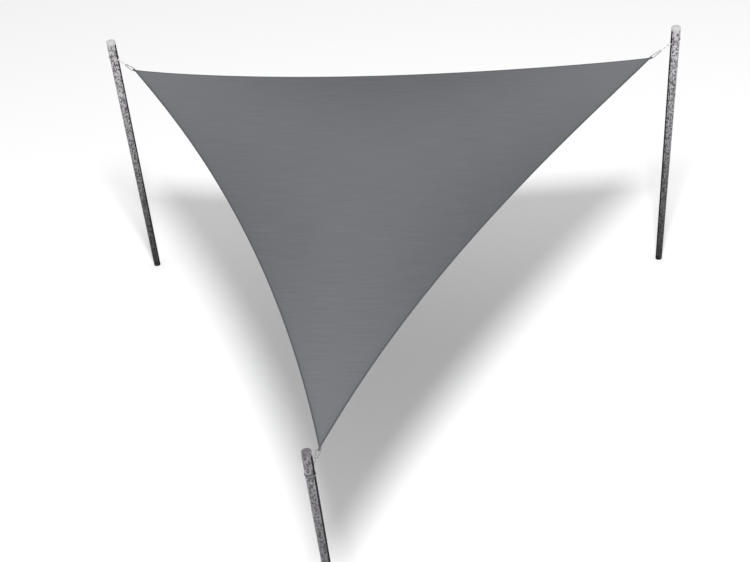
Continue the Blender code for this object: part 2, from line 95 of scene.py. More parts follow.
# ---------------------------------------------------------------- node helpers
class NodeBench:
    """Adds and wires the nodes of one shader or geometry tree."""

    def __init__(self, tree: bpy.types.NodeTree) -> None:
        """Keeps the tree that the nodes go into."""
        self.tree = tree

    def add(self, kind: str, inputs: dict[Any, Any] | None = None, **settings: Any) -> bpy.types.Node:
        """Adds one node.

        Args:
            kind: The node's type name.
            inputs: Values or sockets for its inputs, by name or index.
            settings: The node's own properties.

        Returns:
            The node.
        """
        node = self.tree.nodes.new(kind)
        for name, value in settings.items():
            setattr(node, name, value)
        for key, value in (inputs or {}).items():
            if isinstance(value, Socket):
                self.tree.links.new(value, node.inputs[key])
            else:
                node.inputs[key].default_value = value
        return node

    def math(self, operation: str, *values: Any) -> Socket:
        """Returns the result of a Math node."""
        return self.add("ShaderNodeMath", dict(enumerate(values)), operation=operation).outputs[0]

    def vector(self, operation: str, *values: Any) -> Socket:
        """Returns the vector that a Vector Math node gives."""
        return self.add("ShaderNodeVectorMath", dict(enumerate(values)), operation=operation).outputs[0]

    def scaled(self, vector: Any, scale: Any) -> Socket:
        """Returns a vector times a number."""
        return self.add("ShaderNodeVectorMath", {0: vector, "Scale": scale}, operation="SCALE").outputs[0]

    def add_share(self, base: Any, other: Any, share: float) -> Socket:
        """Returns a value with a share of another added."""
        return self.math("ADD", base, self.math("MULTIPLY", other, share))

    def split(self, vector: Any) -> Any:
        """Returns the three sockets of a vector's parts."""
        return self.add("ShaderNodeSeparateXYZ", {0: vector}).outputs


class ShaderBench(NodeBench):
    """The nodes of one material round its Principled shader."""

    def __init__(self, name: str) -> None:
        """Makes a node-built material.

        Args:
            name: The material's name.
        """
        self.material = bpy.data.materials.new(name)
        self.material.use_nodes = True
        super().__init__(self.material.node_tree)
        self.shader = self.tree.nodes["Principled BSDF"]

    def set(self, **values: float) -> None:
        """Sets constants on the shader's own sockets, named with _ for each space."""
        for name, value in values.items():
            self.shader.inputs[name.replace("_", " ")].default_value = value

    def drive(self, socket: str, value: Socket) -> None:
        """Joins a node's output to one of the shader's sockets."""
        self.tree.links.new(value, self.shader.inputs[socket])

    def place(self) -> Socket:
        """Returns the object's coordinates, in metres."""
        return self.add("ShaderNodeTexCoord").outputs["Object"]

    def flat_place(self, uv_map: str) -> Socket:
        """Returns the place on the flat cloth or webbing, in metres."""
        return self.add("ShaderNodeUVMap", uv_map=uv_map).outputs[0]

    def attribute(self, name: str) -> Socket:
        """Returns a value that the mesh carries under a name."""
        return self.add("ShaderNodeAttribute", attribute_name=name).outputs["Fac"]

    def noise(self, where: Any, scale: float, detail: float = 2.0, rough: float = 0.5) -> Socket:
        """Returns a noise from 0 to 1 at a place."""
        settings = {"Vector": where, "Scale": scale, "Detail": detail, "Roughness": rough}
        return self.add("ShaderNodeTexNoise", settings).outputs[0]

    def span(
        self, value: Any, start: float, end: float, low: float = 0.0, high: float = 1.0
    ) -> Socket:
        """Maps a value between two limits to another range, held at its ends.

        Args:
            value: The value to map.
            start: The limit that gives low.
            end: The limit that gives high.
            low: The result at start.
            high: The result at end.

        Returns:
            The mapped value.
        """
        settings = {"Value": value, "From Min": start, "From Max": end, "To Min": low, "To Max": high}
        return self.add("ShaderNodeMapRange", settings).outputs[0]

    def within(self, value: Any, limit: float, blur: float, share: float = 1.0) -> Socket:
        """Returns a share below a limit and 0 above it, with a blurred step between."""
        return self.span(value, limit - blur, limit + blur, share, 0.0)

    def mix(self, factor: Any, first: Any, second: Any) -> Socket:
        """Returns the mix of two colours, each a socket or three numbers."""
        ends = [(*end, 1.0) if isinstance(end, tuple) else end for end in (first, second)]
        return self.add("ShaderNodeMix", {0: factor, 6: ends[0], 7: ends[1]}, data_type="RGBA").outputs[2]

    def bump(self, height: Any, distance: float, strength: float) -> None:
        """Lets a height drive the shader's normal."""
        settings = {"Strength": strength, "Distance": distance, "Height": height}
        self.drive("Normal", self.add("ShaderNodeBump", settings).outputs[0])


class GeometryTree(NodeBench):
    """A geometry node tree with named inputs."""

    def __init__(self, name: str, sizes: dict[str, str]) -> None:
        """Starts a tree.

        Args:
            name: The tree's name.
            sizes: The type of each named input, such as Float or Int.
        """
        super().__init__(bpy.data.node_groups.new(name, "GeometryNodeTree"))
        sockets = {"Geometry": "Geometry", **sizes, "Material": "Material"}
        self.keys = {}
        for label, kind in sockets.items():
            socket = self.tree.interface.new_socket(label, in_out="INPUT", socket_type=f"NodeSocket{kind}")
            self.keys[label] = socket.identifier
        self.tree.interface.new_socket("Geometry", in_out="OUTPUT", socket_type="NodeSocketGeometry")
        self.given = self.add("NodeGroupInput").outputs

    def curve(self, geometry: Any) -> Socket:
        """Returns a mesh's line of edges as a curve."""
        return self.add("GeometryNodeMeshToCurve", {"Mesh": geometry}).outputs[0]

    def named(self, geometry: Any, name: str, value: Any) -> Socket:
        """Lets the points of geometry carry a value.

        Args:
            geometry: The geometry.
            name: The value's name.
            value: The value.

        Returns:
            The geometry with its value.
        """
        given = {"Geometry": geometry, "Name": name, "Value": value}
        node = self.add("GeometryNodeStoreNamedAttribute", given, data_type="FLOAT", domain="POINT")
        return node.outputs[0]

    def tube(self, curve: Any, radius: Any, sides: int, scale: Any = 1.0) -> Socket:
        """Sweeps a round section along a curve.

        Args:
            curve: The curve.
            radius: The section's radius.
            sides: How many sides the section has.
            scale: What each point of the curve multiplies the section by.

        Returns:
            The mesh, which carries how far round the section each vertex is as "round".
        """
        section = self.add("GeometryNodeCurvePrimitiveCircle", {"Resolution": sides, "Radius": radius})
        turned = self.add("GeometryNodeSplineParameter").outputs["Factor"]
        section = self.named(section.outputs[0], "round", turned)
        swept = {"Curve": curve, "Profile Curve": section, "Scale": scale, "Fill Caps": True}
        return self.add("GeometryNodeCurveToMesh", swept).outputs[0]

    def end(self, geometry: Any) -> None:
        """Realises what the tree made, gives it its material and sends it out.

        Args:
            geometry: What the tree made.
        """
        real = self.add("GeometryNodeRealizeInstances", {"Geometry": geometry}).outputs[0]
        dressed = {"Geometry": real, "Material": self.given["Material"]}
        self.add("NodeGroupOutput", {"Geometry": self.add("GeometryNodeSetMaterial", dressed).outputs[0]})

    def run(self, mesh: Mesh, material: Material, **sizes: Any) -> Mesh:
        """Runs the tree on a mesh.

        Args:
            mesh: What the tree starts from.
            material: The finish of what it makes.
            sizes: The named inputs' values.

        Returns:
            The result as a plain mesh.
        """
        holder = bpy.data.objects.new(self.tree.name, mesh)
        bpy.context.scene.collection.objects.link(holder)
        modifier = holder.modifiers.new(self.tree.name, "NODES")
        modifier.node_group = self.tree
        for label, value in {"Material": material, **sizes}.items():
            modifier[self.keys[label]] = value
        made = plain_mesh(holder)
        bpy.data.objects.remove(holder)
        return made


def plain_mesh(holder: bpy.types.Object) -> Mesh:
    """Turns what an object's modifiers or bevel make of it into a mesh.

    Args:
        holder: The object.

    Returns:
        A mesh of its own.
    """
    graph = bpy.context.evaluated_depsgraph_get()
    graph.update()
    return bpy.data.meshes.new_from_object(
        holder.evaluated_get(graph), preserve_all_data_layers=True, depsgraph=graph
    )


def line_mesh(name: str, lines: Iterable[Sequence[Vector]], closed: bool = False) -> Mesh:
    """Makes a mesh of bare edges that follow lines of points.

    Args:
        name: The mesh's name.
        lines: The lines, each its points in order.
        closed: Whether each line comes back to its start.

    Returns:
        The mesh.
    """
    points, edges = [], []
    for line in lines:
        first = len(points)
        points += [tuple(point) for point in line]
        edges += [(index, index + 1) for index in range(first, len(points) - 1)]
        if closed:
            edges.append((len(points) - 1, first))
    mesh = bpy.data.meshes.new(name)
    mesh.from_pydata(points, edges, [])
    return mesh


def mesh_from(work: bmesh.types.BMesh, name: str) -> Mesh:
    """Turns a bmesh into a named mesh with its faces turned out.

    Args:
        work: The bmesh, which is freed.
        name: The mesh's name.

    Returns:
        The mesh.
    """
    bmesh.ops.recalc_face_normals(work, faces=work.faces)
    mesh = bpy.data.meshes.new(name)
    work.to_mesh(mesh)
    work.free()
    return mesh


def show(
    name: str,
    mesh: Mesh,
    material: Material,
    stands_for: Sequence[str] = (),
    sharp: float = 35.0,
) -> Piece:
    """Puts a finished mesh in the scene as a piece of the object.

    Args:
        name: The piece's name.
        mesh: Its mesh, in the frame's own metres.
        material: Its finish.
        stands_for: The CAD nodes that it replaces.
        sharp: The angle in degrees past which its edges stay sharp.

    Returns:
        The piece's object.
    """
    mesh.name = name
    if not mesh.materials:
        mesh.materials.append(material)
    mesh.shade_smooth()
    mesh.set_sharp_from_angle(angle=math.radians(sharp))
    piece = bpy.data.objects.new(name, mesh)
    bpy.context.scene.collection.objects.link(piece)
    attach(piece, BODY)
    if stands_for:
        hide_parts(*stands_for)
    mesh.calc_loop_triangles()
    LOG.info("%s: %d triangles", name, len(mesh.loop_triangles))
    return piece


# ---------------------------------------------------------------- where things are
@dataclass(frozen=True)
class Corner:
    """One corner of the sail: its place, how its post and rope stand in degrees, and the post's look."""

    name: str
    x: float
    y: float
    post_bearing: float
    lean_bearing: float
    strip_bearing: float
    rope_pitch: float
    post_share: float = 1.0
    dark: bool = False

    def outward(self) -> Vector:
        """Returns the level direction from the corner to its post."""
        return level_direction(self.post_bearing)

    def plan(self) -> Vector:
        """Returns the corner's place in plan."""
        return Vector((self.x, self.y))


@dataclass(frozen=True)
class Edge:
    """A hollow-cut edge between two corners, with how strongly painted shade darkens the cloth along it."""

    start: int
    end: int
    hollow: float
    skew: float
    shade: float


def level_direction(bearing: float) -> Vector:
    """Returns the level direction of a bearing in degrees, which turns from +X towards +Y."""
    return Vector((math.cos(math.radians(bearing)), math.sin(math.radians(bearing)), 0.0))


@dataclass(frozen=True)
class SailPlan:
    """The sail's outline and hang, and where its posts stand, as in the solids."""

    corners: tuple[Corner, ...] = (
        Corner(
            "left",
            x=-2.5,
            y=2.0,
            post_bearing=141.3,
            lean_bearing=141.3,
            strip_bearing=-14.6,
            rope_pitch=10.5,
        ),
        Corner(
            "right",
            x=2.5,
            y=2.0,
            post_bearing=38.7,
            lean_bearing=38.7,
            strip_bearing=207.7,
            rope_pitch=17.0,
        ),
        Corner(
            "front",
            x=0.0,
            y=-4.0,
            post_bearing=-96.0,
            lean_bearing=-118.0,
            strip_bearing=-19.3,
            rope_pitch=2.5,
            post_share=0.856,
            dark=True,
        ),
    )
    edges: tuple[Edge, ...] = (
        Edge(start=0, end=1, hollow=0.172, skew=-0.041, shade=0.384),
        Edge(start=1, end=2, hollow=0.223, skew=0.053, shade=0.406),
        Edge(start=2, end=0, hollow=0.258, skew=-0.007, shade=0.303),
    )
    corner_height: float = 2.30
    edge_droop: float = 0.016
    middle_droop: float = 0.030
    corner_lift: float = 0.014
    corner_lift_reach: float = 0.06
    bar_out: float = 0.006
    pitch_reach: float = 0.034
    post_top_radius: float = 0.04445
    post_foot_radius: float = 0.03175
    post_height: float = 2.488
    post_lean: float = math.radians(4.5)
    post_reach: float = 0.290
    strip_thickness: float = 0.0012
    gap: float = 0.0003
    facet_allowance: float = 0.0003

    def post_axis(self, corner: Corner, height: float) -> Vector:
        """Gives the point of a leaning post's axis at a height.

        Args:
            corner: The post's corner.
            height: The height.

        Returns:
            The point, in the sail's own plan.
        """
        lean = level_direction(corner.lean_bearing) * math.tan(self.post_lean)
        beside = Vector((corner.x, corner.y, self.corner_height)) + corner.outward() * self.post_reach
        return beside + (lean + Vector((0.0, 0.0, 1.0))) * (height - self.corner_height)

    def post_radius(self, corner: Corner, height: float) -> float:
        """Returns the outer radius of a post at a height: its tube narrows towards the foot."""
        widening = (self.post_top_radius - self.post_foot_radius) * height / self.post_height
        return corner.post_share * (self.post_foot_radius + widening)

    def top_radius(self, corner: Corner) -> float:
        """Returns the outer radius of a post at its top, and of its cap."""
        return self.post_radius(corner, self.post_height)

    def base(self) -> Matrix:
        """Gives the shift from the sail's own plan to the frame.

        Returns:
            The shift that brings the middle of the box round the posts to the origin.
        """
        left, right, front = (self.post_axis(corner, self.post_height + self.gap) for corner in self.corners)
        back_y = max(left.y, right.y) + self.post_top_radius
        middle_y = (back_y + front.y - self.top_radius(self.corners[-1])) / 2
        return Matrix.Translation((-(left.x + right.x) / 2, -middle_y, 0.0))

    def shares(self, x: float, y: float) -> tuple[float, float, float]:
        """Weighs the three corners in a plan point.

        Args:
            x: The point's x.
            y: The point's y.

        Returns:
            Each corner's share: 1 at its own corner, 0 on the far side.
        """
        left, right, front = (corner.plan() for corner in self.corners)
        twice_area = (right - left).cross(front - left)
        point = Vector((x, y))
        at_left = (right - point).cross(front - point) / twice_area
        at_right = (front - point).cross(left - point) / twice_area
        return at_left, at_right, 1.0 - at_left - at_right

    def height(self, x: float, y: float) -> float:
        """Gives the cloth's height: a shallow hollow that lifts to the corners.

        Args:
            x: The plan point's x.
            y: The plan point's y.

        Returns:
            The height of the cloth's middle surface.
        """
        # With 4 and 27 the products reach 1, at an edge's middle and at the sail's middle.
        left, right, front = self.shares(x, y)
        pairs = left * right + right * front + front * left
        lift = sum(math.exp(-(1.0 - share) / self.corner_lift_reach) for share in (left, right, front))
        droop = self.edge_droop * 4 * pairs + self.middle_droop * 27 * left * right * front
        return self.corner_height - droop - self.corner_lift * (1.0 - lift)

    def cloth_pitch(self, corner: Corner) -> float:
        """Gives how steeply the cloth rises to a corner.

        Args:
            corner: The corner.

        Returns:
            The angle along the line to its post.
        """
        step = corner.outward() * self.pitch_reach
        inner = self.height(corner.x - step.x, corner.y - step.y)
        return math.atan2(self.corner_height - inner, self.pitch_reach)

    def bar_point(self, corner: Corner) -> Vector:
        """Gives where the ring's bar runs through the tab.

        Args:
            corner: The corner.

        Returns:
            The point, just outside the cloth's tip.
        """
        own = self.cloth_pitch(corner)
        tip = Vector((corner.x, corner.y, self.corner_height))
        return tip + (corner.outward() * math.cos(own) + Vector((0.0, 0.0, math.sin(own)))) * self.bar_out

    def line_frame(self, corner: Corner, pitch: float) -> Matrix:
        """Gives the frame of a corner's fittings.

        Args:
            corner: The corner.
            pitch: How steeply the fittings' line rises to the post.

        Returns:
            A frame at the ring's bar with +X up the line to the post, +Y level and +Z square to both.
        """
        along = corner.outward() * math.cos(pitch) + Vector((0.0, 0.0, math.sin(pitch)))
        across = Vector((0.0, 0.0, 1.0)).cross(corner.outward())
        turn = Matrix((along, across, along.cross(across))).transposed()
        return self.base() @ Matrix.Translation(self.bar_point(corner)) @ turn.to_4x4()

    def edge_tangent(self, edge: Edge, from_start: bool) -> Vector:
        """Gives the direction of an edge as it leaves one of its corners.

        Args:
            edge: The edge.
            from_start: Whether it leaves its first corner.

        Returns:
            The direction in plan.
        """
        chord = self.corners[edge.end].plan() - self.corners[edge.start].plan()
        inward = Vector((chord.y, -chord.x)).normalized()
        if from_start:
            return (chord + inward * 4 * (edge.hollow - edge.skew)).normalized()
        return (-chord + inward * 4 * (edge.hollow + edge.skew)).normalized()

    def tips(self, inset: float) -> list[Vector]:
        """Moves the three corners inwards.

        Args:
            inset: How far inside both edges each comes to lie.

        Returns:
            The three plan points.
        """
        found = []
        for index, corner in enumerate(self.corners):
            first = self.edge_tangent(self.edges[index], from_start=True)
            second = self.edge_tangent(self.edges[index - 1], from_start=False)
            half_angle = first.angle(second) / 2
            found.append(corner.plan() + (first + second).normalized() * inset / math.sin(half_angle))
        return found

    def patch_point(self, tips: Sequence[Vector], weights: Sequence[float]) -> Vector:
        """Gives a point of the hollow-sided triangle.

        Args:
            tips: The triangle's corners in plan.
            weights: The point's weights of them.

        Returns:
            The plan point.
        """
        point = sum((tip * weight for tip, weight in zip(tips, weights)), Vector((0.0, 0.0)))
        for edge in self.edges:
            full_chord = self.corners[edge.end].plan() - self.corners[edge.start].plan()
            chord = tips[edge.end] - tips[edge.start]
            shrink = (chord.length / full_chord.length) ** 2
            inward = Vector((chord.y, -chord.x)).normalized()
            start, end = weights[edge.start], weights[edge.end]
            # 4 * start * end is 0 at the edge's ends and 1 at its middle.
            point += inward * 4 * start * end * shrink * (edge.hollow + edge.skew * (end - start))
        return point

    def border_weights(self, steps: int) -> list[tuple[float, ...]]:
        """Goes once round the border, edge after edge.

        Args:
            steps: How many points each edge has.

        Returns:
            The points' weights of the three corners.
        """
        walk = []
        for edge in self.edges:
            for step in range(steps):
                weights = [0.0, 0.0, 0.0]
                weights[edge.end] = step / steps
                weights[edge.start] = 1.0 - weights[edge.end]
                walk.append(tuple(weights))
        return walk

    def border(self, inset: float, steps: int, off: float) -> list[Vector]:
        """Gives a line round the cloth.

        Args:
            inset: How far inside the cloth's edge it runs.
            steps: How many points it has for each edge.
            off: How far above the cloth's middle surface it lies.

        Returns:
            The closed line's points, in the sail's own plan.
        """
        tips = self.tips(inset)
        line = []
        for weights in self.border_weights(steps):
            x, y = self.patch_point(tips, weights)
            line.append(Vector((x, y, self.height(x, y) + off)))
        return line


# ---------------------------------------------------------------- finishes
@dataclass(frozen=True)
class ClothFinish:
    """Matt woven sail cloth: slubs across, a darker bound edge, and painted shade that deepens at the edges
    and towards the front.
    """

    grey: Colour = (0.136, 0.141, 0.153)
    deep: Colour = (0.098, 0.101, 0.109)
    slub: Colour = (0.26, 0.27, 0.29)
    binding: Colour = (0.070, 0.073, 0.079)
    slub_scale: tuple[float, float, float] = (3.0, 110.0, 1.0)
    slub_range: Range = (0.35, 0.70)
    slub_share: float = 0.16
    drift_scale: float = 1.3
    drift_share: float = 0.08
    hem_width: float = 0.030
    hem_blur: float = 0.001
    hem_share: float = 0.18
    binding_width: float = 0.013
    binding_blur: float = 0.0006
    thread_pitch: float = 0.0016
    thread_share: float = 0.25
    roughness: Range = (0.78, 0.92)
    relief: float = 0.0004

    def make(self) -> Material:
        """Builds the cloth's nodes.

        Returns:
            The material.
        """
        bench = ShaderBench("sail_cloth_weave")
        bench.set(Sheen_Weight=0.06, Sheen_Roughness=0.5, Specular_IOR_Level=0.2)
        flat = bench.flat_place("cloth_flat")
        edge_in = bench.attribute("edge_in")
        slubs = bench.noise(bench.vector("MULTIPLY", flat, self.slub_scale), 1.0, detail=3.0)
        drift = bench.noise(flat, self.drift_scale, detail=1.0)
        # Painted shade: each vertex's share darkens the grey towards the edges and the front.
        grey = bench.scaled(self.grey, bench.math("SUBTRACT", 1.0, bench.attribute("painted_shade")))
        grey = bench.mix(bench.span(slubs, *self.slub_range, 0.0, self.slub_share), grey, self.slub)
        grey = bench.mix(bench.span(drift, *NOISE_RANGE, 0.0, self.drift_share), grey, self.deep)
        in_hem = bench.within(edge_in, self.hem_width, self.hem_blur, self.hem_share)
        grey = bench.mix(in_hem, grey, self.deep)
        bound = bench.within(edge_in, self.binding_width, self.binding_blur)
        bench.drive("Base Color", bench.mix(bound, grey, self.binding))
        bench.drive("Roughness", bench.span(slubs, *NOISE_RANGE, *self.roughness))
        turns = bench.split(bench.scaled(flat, FULL_TURN / self.thread_pitch))
        weave = bench.math("MULTIPLY", bench.math("SINE", turns[0]), bench.math("SINE", turns[1]))
        bench.bump(bench.add_share(slubs, weave, self.thread_share), self.relief, strength=0.5)
        return bench.material


@dataclass(frozen=True)
class WebbingFinish:
    """Ribbed woven webbing, with painted shade in the grooves between its ribs."""

    dark: Colour = (0.070, 0.072, 0.080)
    wear_and_crest_light: Colour = (0.120, 0.123, 0.132)
    rib_pitch: float = 0.0014
    rib_share: float = 0.5
    herring_slant: float = 0.5
    herring_share: float = 0.3
    fuzz_scale: float = 900.0
    fuzz_share: float = 0.4
    roughness: Range = (0.80, 0.95)
    relief: float = 0.0004

    def make(self) -> Material:
        """Builds the webbing's nodes.

        Returns:
            The material.
        """
        bench = ShaderBench("corner_webbing_weave")
        bench.set(Sheen_Weight=0.15, Sheen_Roughness=0.5)
        flat = bench.flat_place("webbing_flat")
        turns = bench.split(bench.scaled(flat, FULL_TURN / self.rib_pitch))
        rib = bench.math("SINE", turns[0])
        herring = bench.math("SINE", bench.add_share(turns[0], turns[1], self.herring_slant))
        fuzz = bench.noise(flat, self.fuzz_scale, detail=3.0)
        height = bench.add_share(bench.math("MULTIPLY", rib, self.rib_share), herring, self.herring_share)
        ridge = self.rib_share + self.herring_share
        # Painted shade: the grooves between the ribs go dark and the crests go towards the lighter colour;
        # fuzz varies it at random.
        shade = bench.add_share(
            bench.span(height, -ridge, ridge, 0.0, 1.0 - self.fuzz_share), fuzz, self.fuzz_share
        )
        bench.drive("Base Color", bench.mix(shade, self.dark, self.wear_and_crest_light))
        bench.drive("Roughness", bench.span(fuzz, *NOISE_RANGE, *self.roughness))
        bench.bump(height, self.relief, strength=0.8)
        return bench.material


@dataclass(frozen=True)
class CordFinish:
    """Twisted fibres: fine yarns at a slant round each strand with painted shade between them, greyed where
    they rub on a post.
    """

    name: str
    light: Colour
    shade: Colour
    yarn_pitch: float
    yarns_round: float
    rubbed: Colour | None = None
    rubbed_from: float = 0.205
    rubbed_to: float = 0.485
    rubbed_blur: float = 0.030
    smear_scale: float = 45.0
    smear_range: Range = (0.42, 0.58)
    smear_share: Range = (0.55, 1.0)
    yarn_range: Range = (-1.0, 0.6)
    yarn_share: float = 0.7
    soil_scale: float = 60.0
    soil_range: Range = (0.5, 0.8)
    soil_share: float = 0.5
    roughness: Range = (0.7, 0.9)
    relief: float = 0.0002

    def make(self) -> Material:
        """Builds the cord's nodes.

        Returns:
            The material.
        """
        bench = ShaderBench(self.name)
        bench.set(Sheen_Weight=0.2, Sheen_Roughness=0.4)
        along = bench.attribute("along")
        wound = bench.math("MULTIPLY", along, FULL_TURN / self.yarn_pitch)
        round_it = bench.math("MULTIPLY", bench.attribute("round"), FULL_TURN * self.yarns_round)
        yarns = bench.math("SINE", bench.math("ADD", wound, round_it))
        soil = bench.noise(bench.place(), self.soil_scale, detail=3.0)
        # Painted shade between the yarns darkens the cord towards its shade colour, and soil adds more of
        # it.
        in_shade = bench.span(yarns, *self.yarn_range, self.yarn_share, 0.0)
        soiled = bench.span(soil, *self.soil_range, 0.0, self.soil_share)
        colour = bench.mix(bench.math("ADD", in_shade, soiled), self.light, self.shade)
        if self.rubbed:
            colour = bench.mix(self.rubbing(bench, along), colour, self.rubbed)
        bench.drive("Base Color", colour)
        bench.drive("Roughness", bench.span(soil, *NOISE_RANGE, *self.roughness))
        bench.bump(yarns, self.relief, strength=0.7)
        return bench.material

    def rubbing(self, bench: ShaderBench, along: Socket) -> Socket:
        """Finds where the cord is greyed.

        Args:
            bench: The material's nodes.
            along: The distance from the cord's start.

        Returns:
            The share of its colour that is lost.
        """
        starts = bench.span(along, self.rubbed_from, self.rubbed_from + self.rubbed_blur)
        stops = bench.span(along, self.rubbed_to - self.rubbed_blur, self.rubbed_to, 1.0, 0.0)
        patchy = bench.noise(bench.place(), self.smear_scale, detail=3.0)
        smears = bench.span(patchy, *self.smear_range, *self.smear_share)
        return bench.math("MULTIPLY", bench.math("MULTIPLY", starts, stops), smears)


@dataclass(frozen=True)
class WireFinish:
    """Drawn steel wire, a little dull."""

    bright: Colour = (0.48, 0.48, 0.49)
    dull: Colour = (0.28, 0.28, 0.30)
    spot_scale: float = 220.0
    dull_range: Range = (0.45, 0.75)
    rough_range: Range = (0.35, 0.75)
    grain_scale: float = 1500.0
    roughness: Range = (0.40, 0.55)
    relief: float = 0.0001

    def make(self) -> Material:
        """Builds the wire's nodes.

        Returns:
            The material.
        """
        bench = ShaderBench("ring_bright_steel")
        bench.set(Metallic=1.0)
        spots = bench.noise(bench.place(), self.spot_scale, detail=4.0)
        grain = bench.noise(bench.place(), self.grain_scale, detail=2.0)
        bench.drive("Base Color", bench.mix(bench.span(spots, *self.dull_range), self.bright, self.dull))
        bench.drive("Roughness", bench.span(spots, *self.rough_range, *self.roughness))
        bench.bump(grain, self.relief, strength=0.4)
        return bench.material


@dataclass(frozen=True)
class GalvanisedFinish:
    """Galvanised tube, finely mottled with purplish grey, with painted shade darkening it towards the foot,
    and less glossy there.
    """

    name: str
    light: Colour
    dark: Colour
    mottle_scale: tuple[float, float, float] = (56.0, 56.0, 44.0)
    mottle_range: Range = (0.47, 0.54)
    contrast: Range = (1.0, 0.95)
    sway_scale: float = 30.0
    sway: float = 0.02
    fine_scale: float = 420.0
    fine_range: Range = (0.35, 0.7)
    fine_share: float = 0.15
    patch_scale: float = 9.0
    patch_range: Range = (0.4, 0.7)
    patch_share: float = 0.22
    top: float = SailPlan.post_height
    painted_foot_shade: float = 2.6
    foot_shade_curve: float = 2.0
    coat: Range = (0.6, 0.05)
    specular: Range = (0.5, 0.2)
    roughness: Range = (0.38, 0.60)
    grain_share: float = 0.3
    relief: float = 0.0006

    def make(self) -> Material:
        """Builds the zinc's nodes.

        Returns:
            The material.
        """
        bench = ShaderBench(self.name)
        bench.set(Metallic=0.2, Coat_Roughness=0.3)
        place = bench.place()
        swirl = bench.add("ShaderNodeTexNoise", {"Vector": place, "Scale": self.sway_scale}).outputs[1]
        bent = bench.vector("ADD", place, bench.scaled(swirl, self.sway))
        mottle = bench.noise(bench.vector("MULTIPLY", bent, self.mottle_scale), 1.0, detail=3.0, rough=0.6)
        fine = bench.noise(place, self.fine_scale, detail=3.0)
        patches = bench.noise(place, self.patch_scale, detail=2.0)
        low = bench.span(bench.split(place)[2], 0.0, self.top, 1.0, 0.0)
        dark_here = bench.math(
            "MULTIPLY", bench.span(mottle, *self.mottle_range), self.to_foot(bench, low, self.contrast)
        )
        zinc = bench.mix(dark_here, self.light, self.dark)
        zinc = bench.mix(bench.span(fine, *self.fine_range, 0.0, self.fine_share), zinc, self.light)
        zinc = bench.mix(bench.span(patches, *self.patch_range, 0.0, self.patch_share), zinc, self.dark)
        # Painted shade: the base colour grows darker towards the foot.
        foot_shade = bench.math("MULTIPLY", bench.math("POWER", low, self.foot_shade_curve), -self.painted_foot_shade)
        bench.drive("Base Color", bench.scaled(zinc, bench.math("EXPONENT", foot_shade)))
        bench.drive("Coat Weight", self.to_foot(bench, low, self.coat))
        bench.drive("Specular IOR Level", self.to_foot(bench, low, self.specular))
        bench.drive("Roughness", bench.span(mottle, *NOISE_RANGE, *self.roughness))
        bench.bump(bench.add_share(mottle, fine, self.grain_share), self.relief, strength=0.4)
        return bench.material

    def to_foot(self, bench: ShaderBench, low: Socket, ends: Range) -> Socket:
        """Returns a value that goes from one at the tube's top to another at its foot."""
        at_top, at_foot = ends
        return bench.math("MULTIPLY_ADD", low, at_foot - at_top, at_top)


@dataclass(frozen=True)
class PlainFinish:
    """A moulded or painted surface with faint grain and scuffs."""

    name: str
    colour: Colour
    scuffed: Colour
    roughness: Range
    grain_scale: float
    specular: float
    scuff_scale: float = 35.0
    scuff_range: Range = (0.5, 0.8)
    scuff_share: float = 0.6
    rough_range: Range = (0.3, 0.8)
    relief: float = 0.0002

    def make(self) -> Material:
        """Builds the surface's nodes.

        Returns:
            The material.
        """
        bench = ShaderBench(self.name)
        bench.set(Specular_IOR_Level=self.specular)
        scuffs = bench.noise(bench.place(), self.scuff_scale, detail=5.0, rough=0.65)
        grain = bench.noise(bench.place(), self.grain_scale, detail=2.0)
        wear_and_crest_light = bench.span(scuffs, *self.scuff_range, 0.0, self.scuff_share)
        bench.drive("Base Color", bench.mix(wear_and_crest_light, self.colour, self.scuffed))
        bench.drive("Roughness", bench.span(scuffs, *self.rough_range, *self.roughness))
        bench.bump(grain, self.relief, strength=0.4)
        return bench.material


@dataclass(frozen=True)
class CornerFinishes:
    """How the rope, its twine, the tube and the cap look at one corner."""

    rope: CordFinish
    twine: CordFinish
    tube: GalvanisedFinish
    cap: PlainFinish | GalvanisedFinish

    def make(self) -> dict[Slot, Material]:
        """Returns the corner's materials by their slots."""
        made = {Slot.ROPE: self.rope, Slot.SEIZING: self.twine, Slot.POST: self.tube, Slot.CAP: self.cap}
        return {slot: finish.make() for slot, finish in made.items()}


BACK_CORNER = CornerFinishes(
    rope=CordFinish(
        "rope_fibre",
        light=(0.80, 0.79, 0.76),
        shade=(0.62, 0.61, 0.58),
        yarn_pitch=0.0045,
        yarns_round=5.0,
        rubbed=(0.30, 0.29, 0.305),
    ),
    twine=CordFinish(
        "seizing_twine",
        light=(0.66, 0.65, 0.62),
        shade=(0.42, 0.41, 0.38),
        yarn_pitch=0.01,
        yarns_round=2.0,
    ),
    tube=GalvanisedFinish("galvanised_mottled", light=(0.50, 0.49, 0.505), dark=(0.056, 0.048, 0.060)),
    cap=PlainFinish(
        "cap_light_grey",
        colour=(0.52, 0.52, 0.52),
        scuffed=(0.45, 0.45, 0.45),
        roughness=(0.52, 0.70),
        grain_scale=400.0,
        specular=0.3,
    ),
)
